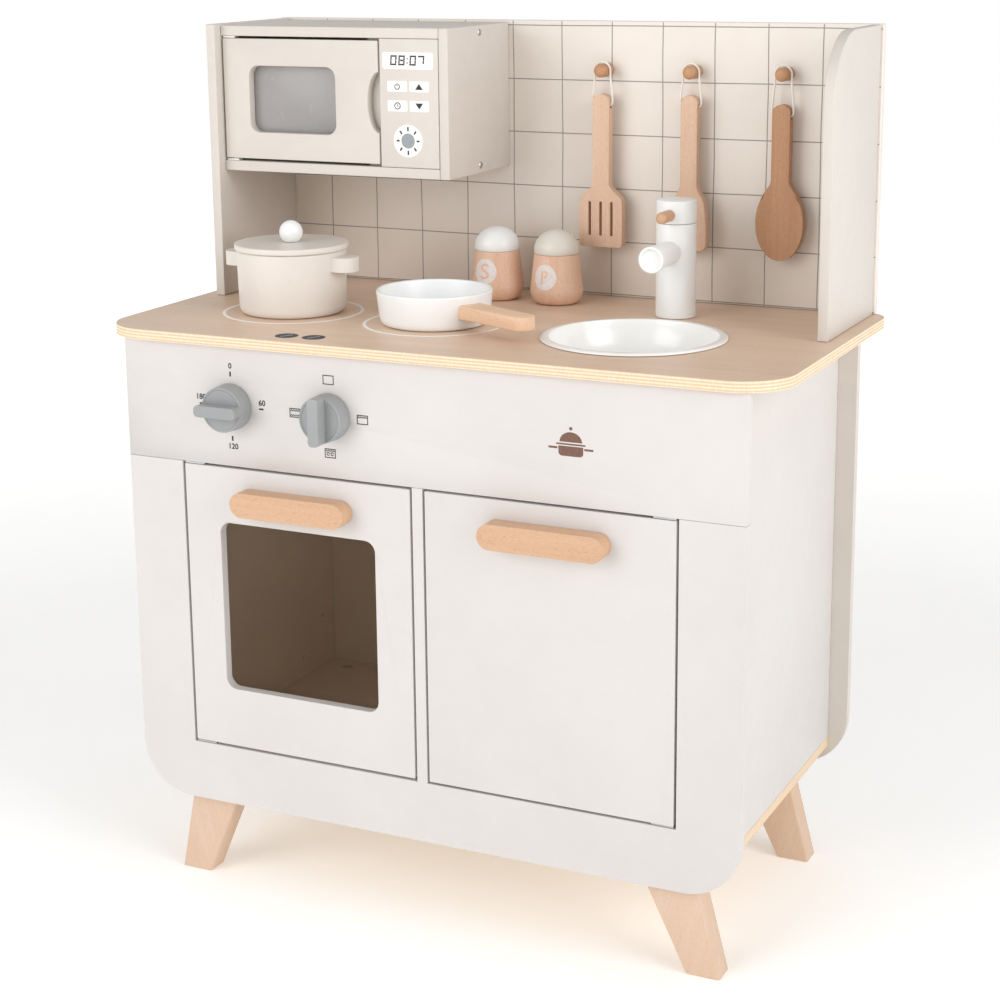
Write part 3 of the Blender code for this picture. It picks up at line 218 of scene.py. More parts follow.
def ply_edge(name, light, dark, low_z, roughness=0.55):
    """The cut edge of plywood: thin plies in turn light and dark, with open end grain."""
    surface, tree, shader = blank(name)
    split = add(tree, "SeparateXYZ", {"Vector": place_of(tree)})
    wander = spread(tree, noise(tree, place_of(tree, (12, 12, 40)), 1.0, 3.0), 0, 1, -0.22, 0.22)
    layer = maths(tree, "DIVIDE", maths(tree, "SUBTRACT", split.outputs["Z"], low_z), PLY)
    wave = maths(tree, "PINGPONG", maths(tree, "ADD", layer, wander), 1.0)
    stripe = spread(tree, wave, 0.42, 0.58)
    pores = noise(tree, place_of(tree, (900, 900, 160)), 1.0, 2.0)
    amount = maths(tree, "ADD", maths(tree, "MULTIPLY", stripe, 0.75),
                   spread(tree, pores, 0.35, 0.75, 0.0, 0.35))
    coat_with(tree, shader, two_tone(tree, amount, light, dark),
              uneven(tree, pores, roughness, 0.05, 0.1))
    bump(tree, shader, maths(tree, "ADD", pores, stripe), 0.2, 0.0002)
    return surface


def moulded(name, light, dark, roughness, peel=0.1, **fixed):
    """Moulded plastic or enamel: fine texture and slightly uneven gloss."""
    surface, tree, shader = blank(name, **fixed)
    point = place_of(tree)
    cloud = spread(tree, noise(tree, point, 25.0, 3.0), 0.3, 0.7)
    coat_with(tree, shader, two_tone(tree, cloud, light, dark),
              uneven(tree, noise(tree, point, 140.0, 3.0), roughness, 0.04, 0.05))
    bump(tree, shader, noise(tree, point, 2600.0, 2.0), peel, 0.0002)
    return surface


def pane(name, light, dark, roughness, alpha):
    """Acrylic sheet: mostly see-through, with a faint haze and dust."""
    surface, tree, shader = blank(name, IOR=1.49, Alpha=alpha)
    point = place_of(tree)
    haze = noise(tree, point, 14.0, 3.0)
    gloss = spread(tree, noise(tree, point, 90.0, 3.0), 0.3, 0.7, roughness * 0.8, roughness * 1.3)
    coat_with(tree, shader, two_tone(tree, spread(tree, haze, 0.3, 0.7), light, dark), gloss)
    bump(tree, shader, haze, 0.05, 0.0004)
    return surface


def metal(name, light, dark, roughness):
    """Zinc-plated steel with fine rolling lines."""
    surface, tree, shader = blank(name, Metallic=1.0)
    lines = noise(tree, place_of(tree, (30, 2400, 2400)), 1.0, 3.0)
    coat_with(tree, shader, two_tone(tree, spread(tree, lines, 0.3, 0.7), light, dark),
              uneven(tree, lines, roughness, 0.08, 0.1))
    bump(tree, shader, lines, 0.12, 0.0002)
    return surface


def ink(name, light, dark, roughness=0.6):
    """Screen-printed ink, a little uneven where the screen let less through."""
    surface, tree, shader = blank(name)
    amount = spread(tree, noise(tree, place_of(tree), 420.0, 3.0), 0.35, 0.70)
    gloss = spread(tree, amount, 0.0, 1.0, roughness - 0.08, roughness + 0.08)
    coat_with(tree, shader, two_tone(tree, amount, light, dark), gloss)
    bump(tree, shader, amount, 0.1, 0.00005)
    return surface


def cotton(name, light, dark):
    """Fuzzy cotton yarn."""
    surface, tree, shader = blank(name, Sheen_Weight=0.4, Sheen_Roughness=0.5)
    fuzz = noise(tree, place_of(tree), 2600.0, 3.0, 0.7)
    coat_with(tree, shader, two_tone(tree, spread(tree, fuzz, 0.3, 0.7), light, dark),
              spread(tree, fuzz, 0.2, 0.8, 0.8, 1.0))
    bump(tree, shader, fuzz, 0.5, 0.0003)
    return surface


PLY = 0.0013
PAN_TURN = math.radians(-25.5)
LEG_TILT = math.radians(14)

WHITE = lacquer("White_lacquer", "D8D4D1", "D3CECB")
BEIGE = lacquer("Beige_lacquer", "D6CFC7", "D0C8C0", 0.5)
TILE = lacquer("Tile_print", "E7DFD6", "E2D9CF", 0.42, coat=0.1)
INSIDE = lacquer("Beige_inside", "F0DFC9", "E6D3BC", 0.55)
VENEER = wood("Birch_veneer", "EACFB7", "D9BBA1", "C7A58A", "x", roughness=0.40, coat=0.12,
              rings=34.0, contrast=0.8)
PLY_EDGE = ply_edge("Birch_ply_edge", "F3E0C6", "D9BC98", low("countertop").z)
BASE_EDGE = ply_edge("Base_ply_edge", "F0DCC1", "D6B892", low("bottom_board").z)
BASE_VENEER = wood("Birch_base", "E6CFAF", "D6BA96", "BD9C78", "x", roughness=0.5, rings=30.0)
LEG_COLOURS = ("DBC1AB", "D4B59B", "C8A689")
LEG_WOOD = wood("Beech_leg", *LEG_COLOURS, "z", LEG_TILT, "Y_AXIS")
LEG_WOOD_BACK = wood("Beech_leg_mirrored", *LEG_COLOURS, "z", -LEG_TILT, "Y_AXIS")
HANDLE_WOOD = wood("Beech_handle", "D7B192", "C79C77", "B07F58", "x", roughness=0.45, coat=0.08)
PAN_WOOD = wood("Beech_pan_handle", "EFCDB0", "E3BC9B", "CCA07B", "x", -PAN_TURN, "Z_AXIS", 0.45)
PEG_WOOD = wood("Beech_peg", "C99B74", "B5825A", "8F6038", "y", roughness=0.45, coat=0.1)
TOOL_WOOD = wood("Beech_utensil", "E3C3AA", "D5AF92", "B9906D", "z", roughness=0.5, rings=80.0)
SPOON_WOOD = wood("Beech_spoon", "C0926D", "AF7E5A", "93623F", "z", roughness=0.5, rings=80.0)
SHAKER_WOOD = wood("Beech_shaker", "EECDB5", "DFB598", "C39675", "z", roughness=0.45, coat=0.1,
                   rings=90.0)
KNOB_GREY = moulded("Grey_plastic", "9E9FA0", "949697", 0.42, 0.16)
ENAMEL = moulded("White_enamel", "FAFAF8", "F5F4F1", 0.22, 0.03, Coat_Weight=0.3,
                 Coat_Roughness=0.08)
SATIN = lacquer("White_satin", "F5F7F7", "F0F1F0", 0.36, coat=0.15, peel=0.12)
CREAM = lacquer("Cream_lacquer", "E5DFD8", "DFD8D0", 0.40, coat=0.12, peel=0.12)
CAP_CREAM = lacquer("Cream_cap", "E5E0D7", "DED9CE", 0.40, coat=0.1, peel=0.12)
PLASTIC = moulded("White_plastic", "F0EFEC", "E6E4E0", 0.38)
STEEL = metal("Zinc_plate", "C9CACB", "A9ABAD", 0.32)
# The oven pane's dark taupe base colour is painted shade: the colour of the shaded oven interior
# seen through the clear sheet.
OVEN_PANE_SHADE_TINTED = pane("Oven_pane_painted_shade", "6B5643", "5E4B3A", 0.06, 0.10)
MICROWAVE_PANE = pane("Smoked_pane", "ACA8A7", "A29E9C", 0.22, 0.80)
CORD = cotton("Cotton_cord", "F5F1EA", "E5DED3")
LINE_INK = ink("Grey_line_ink", "8B8781", "9A958D")
WHITE_INK = ink("White_ink", "FBFAF8", "F5F3EF")
BLACK_INK = ink("Black_ink", "1E1C1B", "33302E")
SLATE_INK = ink("Slate_ink", "303437", "3E4347")
BROWN_INK = ink("Brown_ink", "6B4A3C", "7E5C4C")
BADGE_INK = ink("Badge_ink", "EDE6E4", "E2D8D4")
SILVER_INK = ink("Silver_ink", "C8CBCE", "BABEC1")
DIAL_GREY = ink("Dial_grey", "9CA2A6", "8F969A")


# ---- outlines ------------------------------------------------------------------------
def arc(centre_u, centre_v, radius, start, end, steps):
    points = []
    for i in range(steps + 1):
        angle = math.radians(start + (end - start) * i / steps)
        points.append((centre_u + radius * math.cos(angle), centre_v + radius * math.sin(angle)))
    return points


def circle(centre_u, centre_v, radius, steps=ROUND_STEPS):
    return arc(centre_u, centre_v, radius, 0, 360, steps)[:-1]


def rounded_box(low_u, high_u, low_v, high_v, radii=(0, 0, 0, 0), steps=16):
    """A rectangle with corner radii: low-low, high-low, high-high, low-high."""
    corners = (
        (low_u, low_v, 1, 1, 180),
        (high_u, low_v, -1, 1, 270),
        (high_u, high_v, -1, -1, 0),
        (low_u, high_v, 1, -1, 90),
    )
    points = []
    for (u, v, side_u, side_v, start), radius in zip(corners, radii):
        if radius == 0:
            points.append((u, v))
            continue
        centre = (u + side_u * radius, v + side_v * radius)
        points += arc(*centre, radius, start, start + 90, steps)
    return points


def stadium(centre_u, centre_v, length, height, steps=20):
    radius = height / 2
    reach = length / 2 - radius
    right = arc(centre_u + reach, centre_v, radius, -90, 90, steps)
    return right + arc(centre_u - reach, centre_v, radius, 90, 270, steps)


def fillet(points, radius, steps=4):
    """Rounds every inner corner of an open profile."""
    result = [points[0]]
    for before, corner, after in zip(points, points[1:], points[2:]):
        at = Vector(corner)
        back = Vector(before) - at
        ahead = Vector(after) - at
        reach_back = min(radius, back.length * 0.45)
        reach_ahead = min(radius, ahead.length * 0.45)
        start = at + back.normalized() * reach_back
        end = at + ahead.normalized() * reach_ahead
        for i in range(steps + 1):
            part = i / steps
            point = start * (1 - part) ** 2 + at * 2 * part * (1 - part) + end * part ** 2
            result.append(tuple(point))
    return result + [points[-1]]


def flowing(points, steps=6):
    """A smooth curve through the points of an open profile."""
    ends = [points[0]] + list(points) + [points[-1]]
    result = [points[0]]
    for a, b, c, d in zip(ends, ends[1:], ends[2:], ends[3:]):
        for i in range(1, steps + 1):
            t = i / steps
            values = []
            for p, q, r, s in zip(a, b, c, d):
                values.append(0.5 * (2 * q + (r - p) * t + (2 * p - 5 * q + 4 * r - s) * t ** 2
                                     + (3 * q - p - 3 * r + s) * t ** 3))
            result.append(tuple(values))
    return result


# ---- mesh helpers --------------------------------------------------------------------
def new_item(name, mesh, *surfaces):
    item = bpy.data.objects.new(name, mesh)
    bpy.context.scene.collection.objects.link(item)
    mesh.materials.clear()
    for surface in surfaces:
        mesh.materials.append(surface)
    return item


def soften(item, angle=38):
    item.data.shade_smooth()
    item.data.set_sharp_from_angle(angle=math.radians(angle))
    return item


def heading(points, number):
    """The direction of a line at one of its points."""
    before = Vector(points[max(number - 1, 0)])
    after = Vector(points[min(number + 1, len(points) - 1)])
    return (after - before).normalized()


def opened(mesh):
    work = bmesh.new()
    work.from_mesh(mesh)
    return work


def closed(work, mesh, outwards=True):
    """Turns the faces outwards and writes the shape to its mesh."""
    if outwards:
        bmesh.ops.recalc_face_normals(work, faces=work.faces)
    work.to_mesh(mesh)
    work.free()
    return mesh


def ease(item, width=EDGE, segments=3, angle=38):
    """Rounds the hard edges and keeps the flat faces flat."""
    step = item.modifiers.new("Eased edges", "BEVEL")
    step.width = width
    step.segments = segments
    step.limit_method = "ANGLE"
    step.angle_limit = math.radians(angle)
    step.harden_normals = True
    item.data.shade_smooth()
    return item


FACINGS = {
    "flat": lambda u, v, w: (u, v, w),
    "front": lambda u, v, w: (u, w, v),
}


def slab_mesh(name, loops, start, end, facing):
    """A flat shape filled from its loops, between two distances along its normal axis."""
    shape = bpy.data.curves.new(name, "CURVE")
    shape.dimensions = "2D"
    shape.fill_mode = "BOTH"
    shape.extrude = (end - start) / 2 * FILL_SCALE
    for loop in loops:
        line = shape.splines.new("POLY")
        line.points.add(len(loop) - 1)
        for point, (u, v) in zip(line.points, loop):
            point.co = (u * FILL_SCALE, v * FILL_SCALE, 0, 1)
        line.use_cyclic_u = True
    outline = bpy.data.objects.new(name + "_outline", shape)
    bpy.context.scene.collection.objects.link(outline)
    graph = bpy.context.evaluated_depsgraph_get()
    mesh = bpy.data.meshes.new_from_object(outline.evaluated_get(graph))
    bpy.data.objects.remove(outline, do_unlink=True)
    work = opened(mesh)
    bmesh.ops.remove_doubles(work, verts=work.verts, dist=0.004)
    open_edges = [edge for edge in work.edges if edge.is_boundary]
    if open_edges:
        bmesh.ops.holes_fill(work, edges=open_edges, sides=0)
    shift = (start + end) / 2
    for vert in work.verts:
        u, v, w = vert.co / FILL_SCALE
        vert.co = FACINGS[facing](u, v, w + shift)
    mesh.name = name
    return closed(work, mesh)


def slab(name, loops, start, end, facing, surface, width=EDGE, segments=3):
    item = new_item(name, slab_mesh(name, loops, start, end, facing), surface)
    return ease(item, width, segments) if width else soften(item)


def printed(name, loops, surface_at, facing, surface, slot_name):
    """A print on the kitchen, a few hundredths of a millimetre proud of its face."""
    side = 1 if facing == "flat" else -1
    bottom = surface_at - side * PRINT_SINK
    top = surface_at + side * PRINT_HEIGHT
    mesh = slab_mesh(name, loops, min(bottom, top), max(bottom, top), facing)
    return put(new_item(name, mesh, surface), "kitchen", slot_name)


def lathe(name, profile, place, surface, axis="z", steps=ROUND_STEPS, angle=38):
    """A turned piece: the profile runs from the axis outwards and back to the axis."""
    work = bmesh.new()
    rings = []
    for radius, height in profile:
        if radius < 1e-6:
            rings.append([work.verts.new((0, 0, height))])
            continue
        turns = [2 * math.pi * step / steps for step in range(steps)]
        rings.append([work.verts.new((radius * math.cos(turn), radius * math.sin(turn), height))
                      for turn in turns])
    for first, second in zip(rings, rings[1:]):
        for step in range(steps):
            after = (step + 1) % steps
            corners = [first[step % len(first)], second[step % len(second)],
                       second[after % len(second)], first[after % len(first)]]
            unique = list(dict.fromkeys(corners))
            if len(unique) > 2:
                work.faces.new(unique)
    if axis == "y":
        bmesh.ops.rotate(work, verts=work.verts, matrix=Matrix.Rotation(math.pi / 2, 3, "X"))
    bmesh.ops.translate(work, verts=work.verts, vec=place)
    return soften(new_item(name, closed(work, bpy.data.meshes.new(name)), surface), angle)


def crown(radius, top, height, angles):
    """The rounded end of a turned profile, from the axis outwards."""
    points = [(0, top)]
    for degrees in angles:
        angle = math.radians(degrees)
        points.append((radius * math.sin(angle), top - height + height * math.cos(angle)))
    return points


def finished(node, surface, body, slot_name, width=EDGE, segments=3):
    """A CAD part's own shape with welded faces, eased edges and a full material."""
    mesh = NODES[node].data.copy()
    work = opened(mesh)
    bmesh.ops.remove_doubles(work, verts=work.verts, dist=WELD)
    bmesh.ops.dissolve_limit(work, angle_limit=0.01, verts=work.verts, edges=work.edges)
    item = new_item(node + "_finished", closed(work, mesh), surface)
    if width:
        ease(item, width, segments)
    else:
        soften(item)
    return put(item, body, slot_name, node)


def cut(item, *cutters):
    """Cuts the cutters out of an item and applies the result."""
    for cutter in cutters:
        step = item.modifiers.new("Cut", "BOOLEAN")
        step.operation = "DIFFERENCE"
        step.solver = "EXACT"
        step.object = cutter
    graph = bpy.context.evaluated_depsgraph_get()
    mesh = bpy.data.meshes.new_from_object(item.evaluated_get(graph))
    item.modifiers.clear()
    item.data = mesh
    for cutter in cutters:
        bpy.data.objects.remove(cutter, do_unlink=True)
    return item


def paint_faces(item, surface, chosen):
    """Gives the faces whose normal is chosen their own material."""
    item.data.materials.append(surface)
    index = len(item.data.materials) - 1
    for face in item.data.polygons:
        if chosen(face.normal):
            face.material_index = index


def on_edge(normal):
    return abs(normal.z) < 0.5


# ---- cords ---------------------------------------------------------------------------
CORD_DIAMETER = 0.0020
CORD_BEND = 0.0040
PEG_RADIUS = 0.006
ROUTE_GAP = 0.0003
TOOL_HALF = 0.008
HOLE_DROP = 0.0105
STRANDS = 3
TWIST_PITCH = 0.0042
CORD_SIDES = 18
TURNER_TOP = -0.0205
SPATULA_TOP = -0.0195
SPOON_TOP = -0.0255


def swell(part):
    """A share that starts and ends gently."""
    return (1 - math.cos(math.pi * part)) / 2


def cord_route(top_v):
    """Out of one side of the handle, up over the peg and back into the other side."""
    drop = top_v - HOLE_DROP
    start_x = TOOL_HALF - 0.0025
    out_x = start_x + CORD_BEND
    wrap = PEG_RADIUS + CORD_DIAMETER / 2 + ROUTE_GAP
    right = [(0.0008, drop), (0.0030, drop), (start_x, drop)]
    for step in range(1, 6):
        angle = math.radians(-90 + 18 * step)
        right.append((start_x + CORD_BEND * math.cos(angle),
                      drop + CORD_BEND + CORD_BEND * math.sin(angle)))
    low_v = drop + CORD_BEND
    for step in range(1, 9):
        part = step / 9
        right.append((out_x + (wrap - out_x) * swell(part), low_v * (1 - part)))
    for step in range(0, 6):
        angle = math.radians(90 * step / 6)
        right.append((wrap * math.cos(angle), wrap * math.sin(angle)))
    left = [(-u, v) for u, v in reversed(right)]
    return right + [(0, wrap)] + left


def twisted_cord(name, peg, tool, tool_top, cad_cord, body):
    """Three cotton strands twisted round each other along the route."""
    centre = middle(peg)
    cord_y = middle(tool).y
    route = [(centre.x + u, cord_y, centre.z + v) for u, v in cord_route(tool_top)]
    length = 0.0
    rings = []
    line = flowing(route, 6)
    work = bmesh.new()
    for number, point in enumerate(line):
        here = Vector(point)
        length += (here - Vector(line[max(number - 1, 0)])).length
        out = Vector((0, 1, 0))
        across = heading(line, number).cross(out)
        ring = []
        for step in range(CORD_SIDES):
            turn = 2 * math.pi * step / CORD_SIDES
            lobe = abs(math.cos(STRANDS / 2 * (turn - 2 * math.pi * length / TWIST_PITCH)))
            radius = CORD_DIAMETER / 2 * (0.86 + 0.16 * lobe)
            ring.append(work.verts.new(here + (across * math.cos(turn) + out * math.sin(turn))
                                       * radius))
        rings.append(ring)
    for first, second in zip(rings, rings[1:]):
        for step in range(CORD_SIDES):
            after = (step + 1) % CORD_SIDES
            work.faces.new((first[step], first[after], second[after], second[step]))
    work.faces.new(rings[0])
    work.faces.new(list(reversed(rings[-1])))
    item = soften(new_item(name, closed(work, bpy.data.meshes.new(name)), CORD), 60)
    put(item, body, "cotton_cord", cad_cord)


twisted_cord("turner_loop", "peg_left", "slotted_turner", TURNER_TOP, "turner_cord", "turner")
twisted_cord("spatula_loop", "peg_middle", "spatula", SPATULA_TOP, "spatula_cord", "spatula")
twisted_cord("spoon_loop", "peg_right", "spoon", SPOON_TOP, "spoon_cord", "spoon")


# ---- lower cabinet -------------------------------------------------------------------
def build_countertop():
    first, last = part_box("countertop")
    hole = middle("sink_bowl")
    hole_radius, front_corner, rear_corner = 0.0712, 0.044, 0.022
    corners = (front_corner, front_corner, rear_corner, rear_corner)
    outline = rounded_box(first.x, last.x, first.y, last.y, corners, 28)
    top = slab("countertop_board", [outline, circle(hole.x, hole.y, hole_radius)], first.z, last.z,
               "flat", VENEER, 0)
    paint_faces(top, PLY_EDGE, on_edge)
    ease(top, 0.0011, 3)
    put(top, "kitchen", "birch_plywood", "countertop")


def build_front_frame():
    first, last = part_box("front_frame")
    radius = 0.048
    floor = 0.1289
    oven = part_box("oven_door")
    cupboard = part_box("cupboard_door")
    gap = oven[0].z - floor
    points = arc(first.x + radius, first.z + radius, radius, 180, 270, 28)
    points += arc(last.x - radius, first.z + radius, radius, 270, 360, 28)
    right = cupboard[1].x + gap
    left = oven[0].x - gap
    post_right = cupboard[0].x - gap
    post_left = oven[1].x + gap
    points += [(last.x, last.z), (right, last.z), (right, floor), (post_right, floor),
               (post_right, last.z), (post_left, last.z), (post_left, floor), (left, floor),
               (left, last.z), (first.x, last.z)]
    board = slab("front_frame_board", [points], first.y, last.y, "front", WHITE)
    put(board, "kitchen", "white_lacquer", "front_frame")
    first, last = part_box("lower_back_panel")
    back = rounded_box(first.x, last.x, first.z, last.z, (radius, radius, 0, 0), 28)
    panel = slab("lower_back_board", [back], first.y, last.y, "front", BEIGE)
    put(panel, "kitchen", "beige_lacquer", "lower_back_panel")


def build_carcass():
    finished("control_panel", WHITE, "kitchen", "white_lacquer")
    for node, inward in (("left_side_panel", 1), ("right_side_panel", -1)):
        panel = finished(node, WHITE, "kitchen", "white_lacquer")
        paint_faces(panel, INSIDE, lambda normal: normal.x * inward > 0.7)
    finished("centre_divider", INSIDE, "kitchen", "beige_lacquer")
    floor = finished("bottom_board", BASE_VENEER, "kitchen", "birch_plywood")
    paint_faces(floor, BASE_EDGE, on_edge)
    paint_faces(floor, INSIDE, lambda normal: normal.z > 0.7)
    for node in ("upper_left_panel", "upper_right_panel", "microwave_top_board",
                 "microwave_bottom_board", "microwave_side_panel", "microwave_control_panel"):
        finished(node, BEIGE, "kitchen", "beige_lacquer")
    finished("tile_panel", TILE, "kitchen", "tile_print")
    for row in ("front", "rear"):
        finished(f"leg_{row}_left", LEG_WOOD, "kitchen", "beech", 0)
        finished(f"leg_{row}_right", LEG_WOOD_BACK, "kitchen", "beech", 0)
    finished("door_catch", PLASTIC, "kitchen", "white_plastic", 0)
    for door in ("oven", "cupboard", "microwave"):
        surface, slot_name = (STEEL, "zinc_plate")
        if door == "microwave":
            surface, slot_name = (PLASTIC, "white_plastic")
        for place in ("top", "bottom"):
            finished(f"{door}_hinge_{place}", surface, "kitchen", slot_name, 0)


def build_linings():
    """Darker paint on the back board, only inside the oven and the cupboard."""
    face = low("lower_back_panel").y
    left, right = high("left_side_panel").x, low("right_side_panel").x
    divider_low, divider_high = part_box("centre_divider")
    floor, ceiling = high("bottom_board").z, low("countertop").z
    for name, first, last in (("oven", left, divider_low.x), ("cupboard", divider_high.x, right)):
        loop = rounded_box(first, last, floor, ceiling)
        printed(f"{name}_lining", [loop], face, "front", INSIDE, "beige_lacquer")


def build_doors():
    first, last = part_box("oven_door")
    centre = (first.x + last.x) / 2
    half, bottom, corner = 0.075, 0.184, 0.010
    window = rounded_box(centre - half, centre + half, bottom, bottom + 2 * half, (corner,) * 4)
    outline = rounded_box(first.x, last.x, first.z, last.z)
    door = slab("oven_door_board", [outline, window], first.y, last.y, "front", WHITE)
    put(door, "oven_door", "white_lacquer", "oven_door")
    finished("cupboard_door", WHITE, "cupboard_door", "white_lacquer", 0.0006)
    finished("oven_window", OVEN_PANE_SHADE_TINTED, "oven_door", "clear_pane", 0.0002, 2)
    for body in ("oven", "cupboard"):
        first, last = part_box(f"{body}_handle")
        outline = stadium((first.x + last.x) / 2, (first.z + last.z) / 2, last.x - first.x,
                          last.z - first.z, 28)
        bar = slab(f"{body}_handle_bar", [outline], first.y, last.y, "front", HANDLE_WOOD,
                   0.0044, 7)
        put(bar, f"{body}_door", "beech", f"{body}_handle")


def build_microwave_door():
    """The door, its window and the strip behind it, seen through its finger cut."""
    finished("microwave_door", BEIGE, "microwave_door", "beige_lacquer")
    finished("microwave_window", MICROWAVE_PANE, "microwave_door", "clear_pane", 0.0002, 2)
    door = high("microwave_door")
    overlap, clearance, thick = 0.015, 0.0008, 0.0030
    floor, ceiling = high("microwave_bottom_board").z, low("microwave_top_board").z
    loop = rounded_box(door.x - overlap, low("microwave_control_panel").x, floor, ceiling)
    start = door.y + clearance
    strip = slab("microwave_door_stop", [loop], start, start + thick, "front", BEIGE, 0.0004)
    put(strip, "kitchen", "beige_lacquer")


# ---- knobs ---------------------------------------------------------------------------
def build_knob(node, upright):
    first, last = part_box(node)
    centre = ((first.x + last.x) / 2, low("control_panel").y - 0.0003, (first.z + last.z) / 2)
    radius, depth, shaft, shaft_end = 0.0198, 0.016, 0.0035, -0.0165
    face = depth - 0.0007
    profile = [(0, shaft_end), (shaft, shaft_end), (shaft, 0), (radius, 0), (radius, 0.0030),
               (radius - 0.0005, depth), (radius - 0.0022, depth), (radius - 0.0030, face),
               (0, face)]
    dial = lathe(node + "_dial", fillet(profile, 0.0009), centre, KNOB_GREY, "y")
    put(dial, node, "grey_plastic", node)
    length, width = 0.0400, 0.0098
    face_y = centre[1] - depth
    outline = rounded_box(-length / 2, length / 2, -width / 2, width / 2, (0.0036,) * 4, 10)
    if upright:
        outline = [(-v, u) for u, v in outline]
    outline = [(centre[0] + u, centre[2] + v) for u, v in outline]
    grip = slab(node + "_grip", [outline], face_y - 0.011, face_y + 0.004, "front", KNOB_GREY,
                0.0017, 4)
    put(grip, node, "grey_plastic")


# ---- sink and tap --------------------------------------------------------------------
def build_sink():
    place = middle("sink_bowl")
    counter = high("countertop").z + 0.0003
    lip, bowl, depth, wall, rim = 0.0026, 0.0688, 0.032, 0.0018, 0.0772
    profile = [
        (0, -depth), (bowl * 0.55, -depth), (bowl * 0.78, -depth * 0.93),
        (bowl * 0.92, -depth * 0.70), (bowl, -depth * 0.25), (bowl + 0.001, lip - 0.0006),
        (bowl + 0.0026, lip), (rim - 0.0015, lip - 0.0004), (rim, lip * 0.45), (rim, 0),
        (bowl + wall, 0), (bowl + wall, -depth * 0.25), (bowl * 0.92 + wall, -depth * 0.72),
        (bowl * 0.78 + wall * 0.6, -depth * 0.95 - wall * 0.6), (bowl * 0.55, -depth - wall),
        (0, -depth - wall),
    ]
    bowl_piece = lathe("sink_basin", fillet(profile, 0.006, 5), (place.x, place.y, counter), ENAMEL,
                       angle=60)
    put(bowl_piece, "sink", "white_enamel", "sink_bowl")


def build_tap():
    x, y, base = foot("faucet_body")
    radius, height, pin, pin_height = 0.0174, 0.0812, 0.005, 0.011
    profile = [(0, height + pin_height), (pin, height + pin_height), (pin, height),
               (radius, height), (radius, 0), (0, 0)]
    column = lathe("tap_column", fillet(profile, 0.0009), (x, y, base), SATIN)
    put(column, "kitchen", "white_enamel", "faucet_body")
    spout_z, reach, end, root = 0.5550, 0.0603, 0.0113, 0.0098
    mouth, start = reach - 0.0022, radius * 0.75
    profile = [(0, mouth), (end - 0.0030, mouth), (end - 0.0024, reach), (end - 0.0002, reach),
               (end, reach - 0.0014), (root, start), (0, start)]
    spout = lathe("tap_spout", fillet(profile, 0.0008), (x, y, spout_z), SATIN, "y")
    put(spout, "kitchen", "white_enamel", "faucet_spout")
    cap_low, cap_height, bore, bore_depth = base + height + 0.0004, 0.0196, 0.0054, 0.0114
    profile = [(0, cap_height), (radius, cap_height), (radius, 0), (bore, 0), (bore, bore_depth),
               (0, bore_depth)]
    cap = lathe("tap_cap_round", fillet(profile, 0.0011), (x, y, cap_low), SATIN)
    put(cap, "tap_cap", "white_enamel", "faucet_cap")
    lever_z, lever_reach, tip, inner = 0.5869, 0.0390, 0.0050, radius - 0.005
    profile = crown(tip, lever_reach, 0.0034, range(10, 91, 10)) + [(tip, inner), (0, inner)]
    lever = lathe("tap_lever", profile, (x, y, lever_z), HANDLE_WOOD, "y", 48)
    put(lever, "tap_cap", "beech", "faucet_lever")


# ---- pegs and utensils ---------------------------------------------------------------
def build_pegs():
    for name in ("left", "middle", "right"):
        first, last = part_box(f"peg_{name}")
        place = ((first.x + last.x) / 2, last.y, (first.z + last.z) / 2)
        profile = crown(PEG_RADIUS, last.y - first.y, 0.0036, range(8, 91, 8))
        peg = lathe(f"peg_{name}_turned", profile + [(PEG_RADIUS, 0), (0, 0)], place, PEG_WOOD, "y",
                    48)
        put(peg, "kitchen", "beech", f"peg_{name}")


def mirrored(right_side):
    left_side = [(-u, v) for u, v in reversed(right_side) if u > 0.00001]
    return list(reversed(right_side + left_side))


def handle_side(top_v, neck_v):
    drop = TOOL_HALF * 0.85
    points = arc(0, top_v - drop, 1.0, 90, 0, 12)
    points = [(u * TOOL_HALF, top_v - drop + (v - top_v + drop) * drop) for u, v in points]
    return points + [(TOOL_HALF, neck_v)]


def shoulder(start, end, steps=12):
    points = []
    for i in range(steps + 1):
        part = i / steps
        points.append((start[0] + (end[0] - start[0]) * swell(part),
                       start[1] + (end[1] - start[1]) * part))
    return points


def turner_outline():
    side = handle_side(TURNER_TOP, -0.100)
    side += shoulder((TOOL_HALF, -0.100), (0.0205, -0.116))[1:]
    side += [(0.0209, -0.135), (0.0205, -0.153)]
    return mirrored(side + arc(0.0175, -0.154, 0.003, 0, -90, 8) + [(0, -0.157)])


def spatula_outline():
    side = handle_side(SPATULA_TOP, -0.097)
    side += shoulder((TOOL_HALF, -0.097), (0.0152, -0.116))[1:]
    side += [(0.0168, -0.128), (0.0172, -0.140)]
    return mirrored(side + arc(0.0102, -0.1495, 0.007, 0, -75, 12) + [(0, -0.1578)])


def spoon_outline():
    side = handle_side(SPOON_TOP, -0.090)
    side += shoulder((TOOL_HALF, -0.090), (0.0165, -0.108))[1:]
    for step in range(1, 41):
        angle = math.radians(55 - 145 * step / 40)
        side.append((0.0214 * math.cos(angle), -0.1275 + 0.0325 * math.sin(angle)))
    return mirrored([p for p in side if p[0] > 0.0001] + [(0, -0.160)])


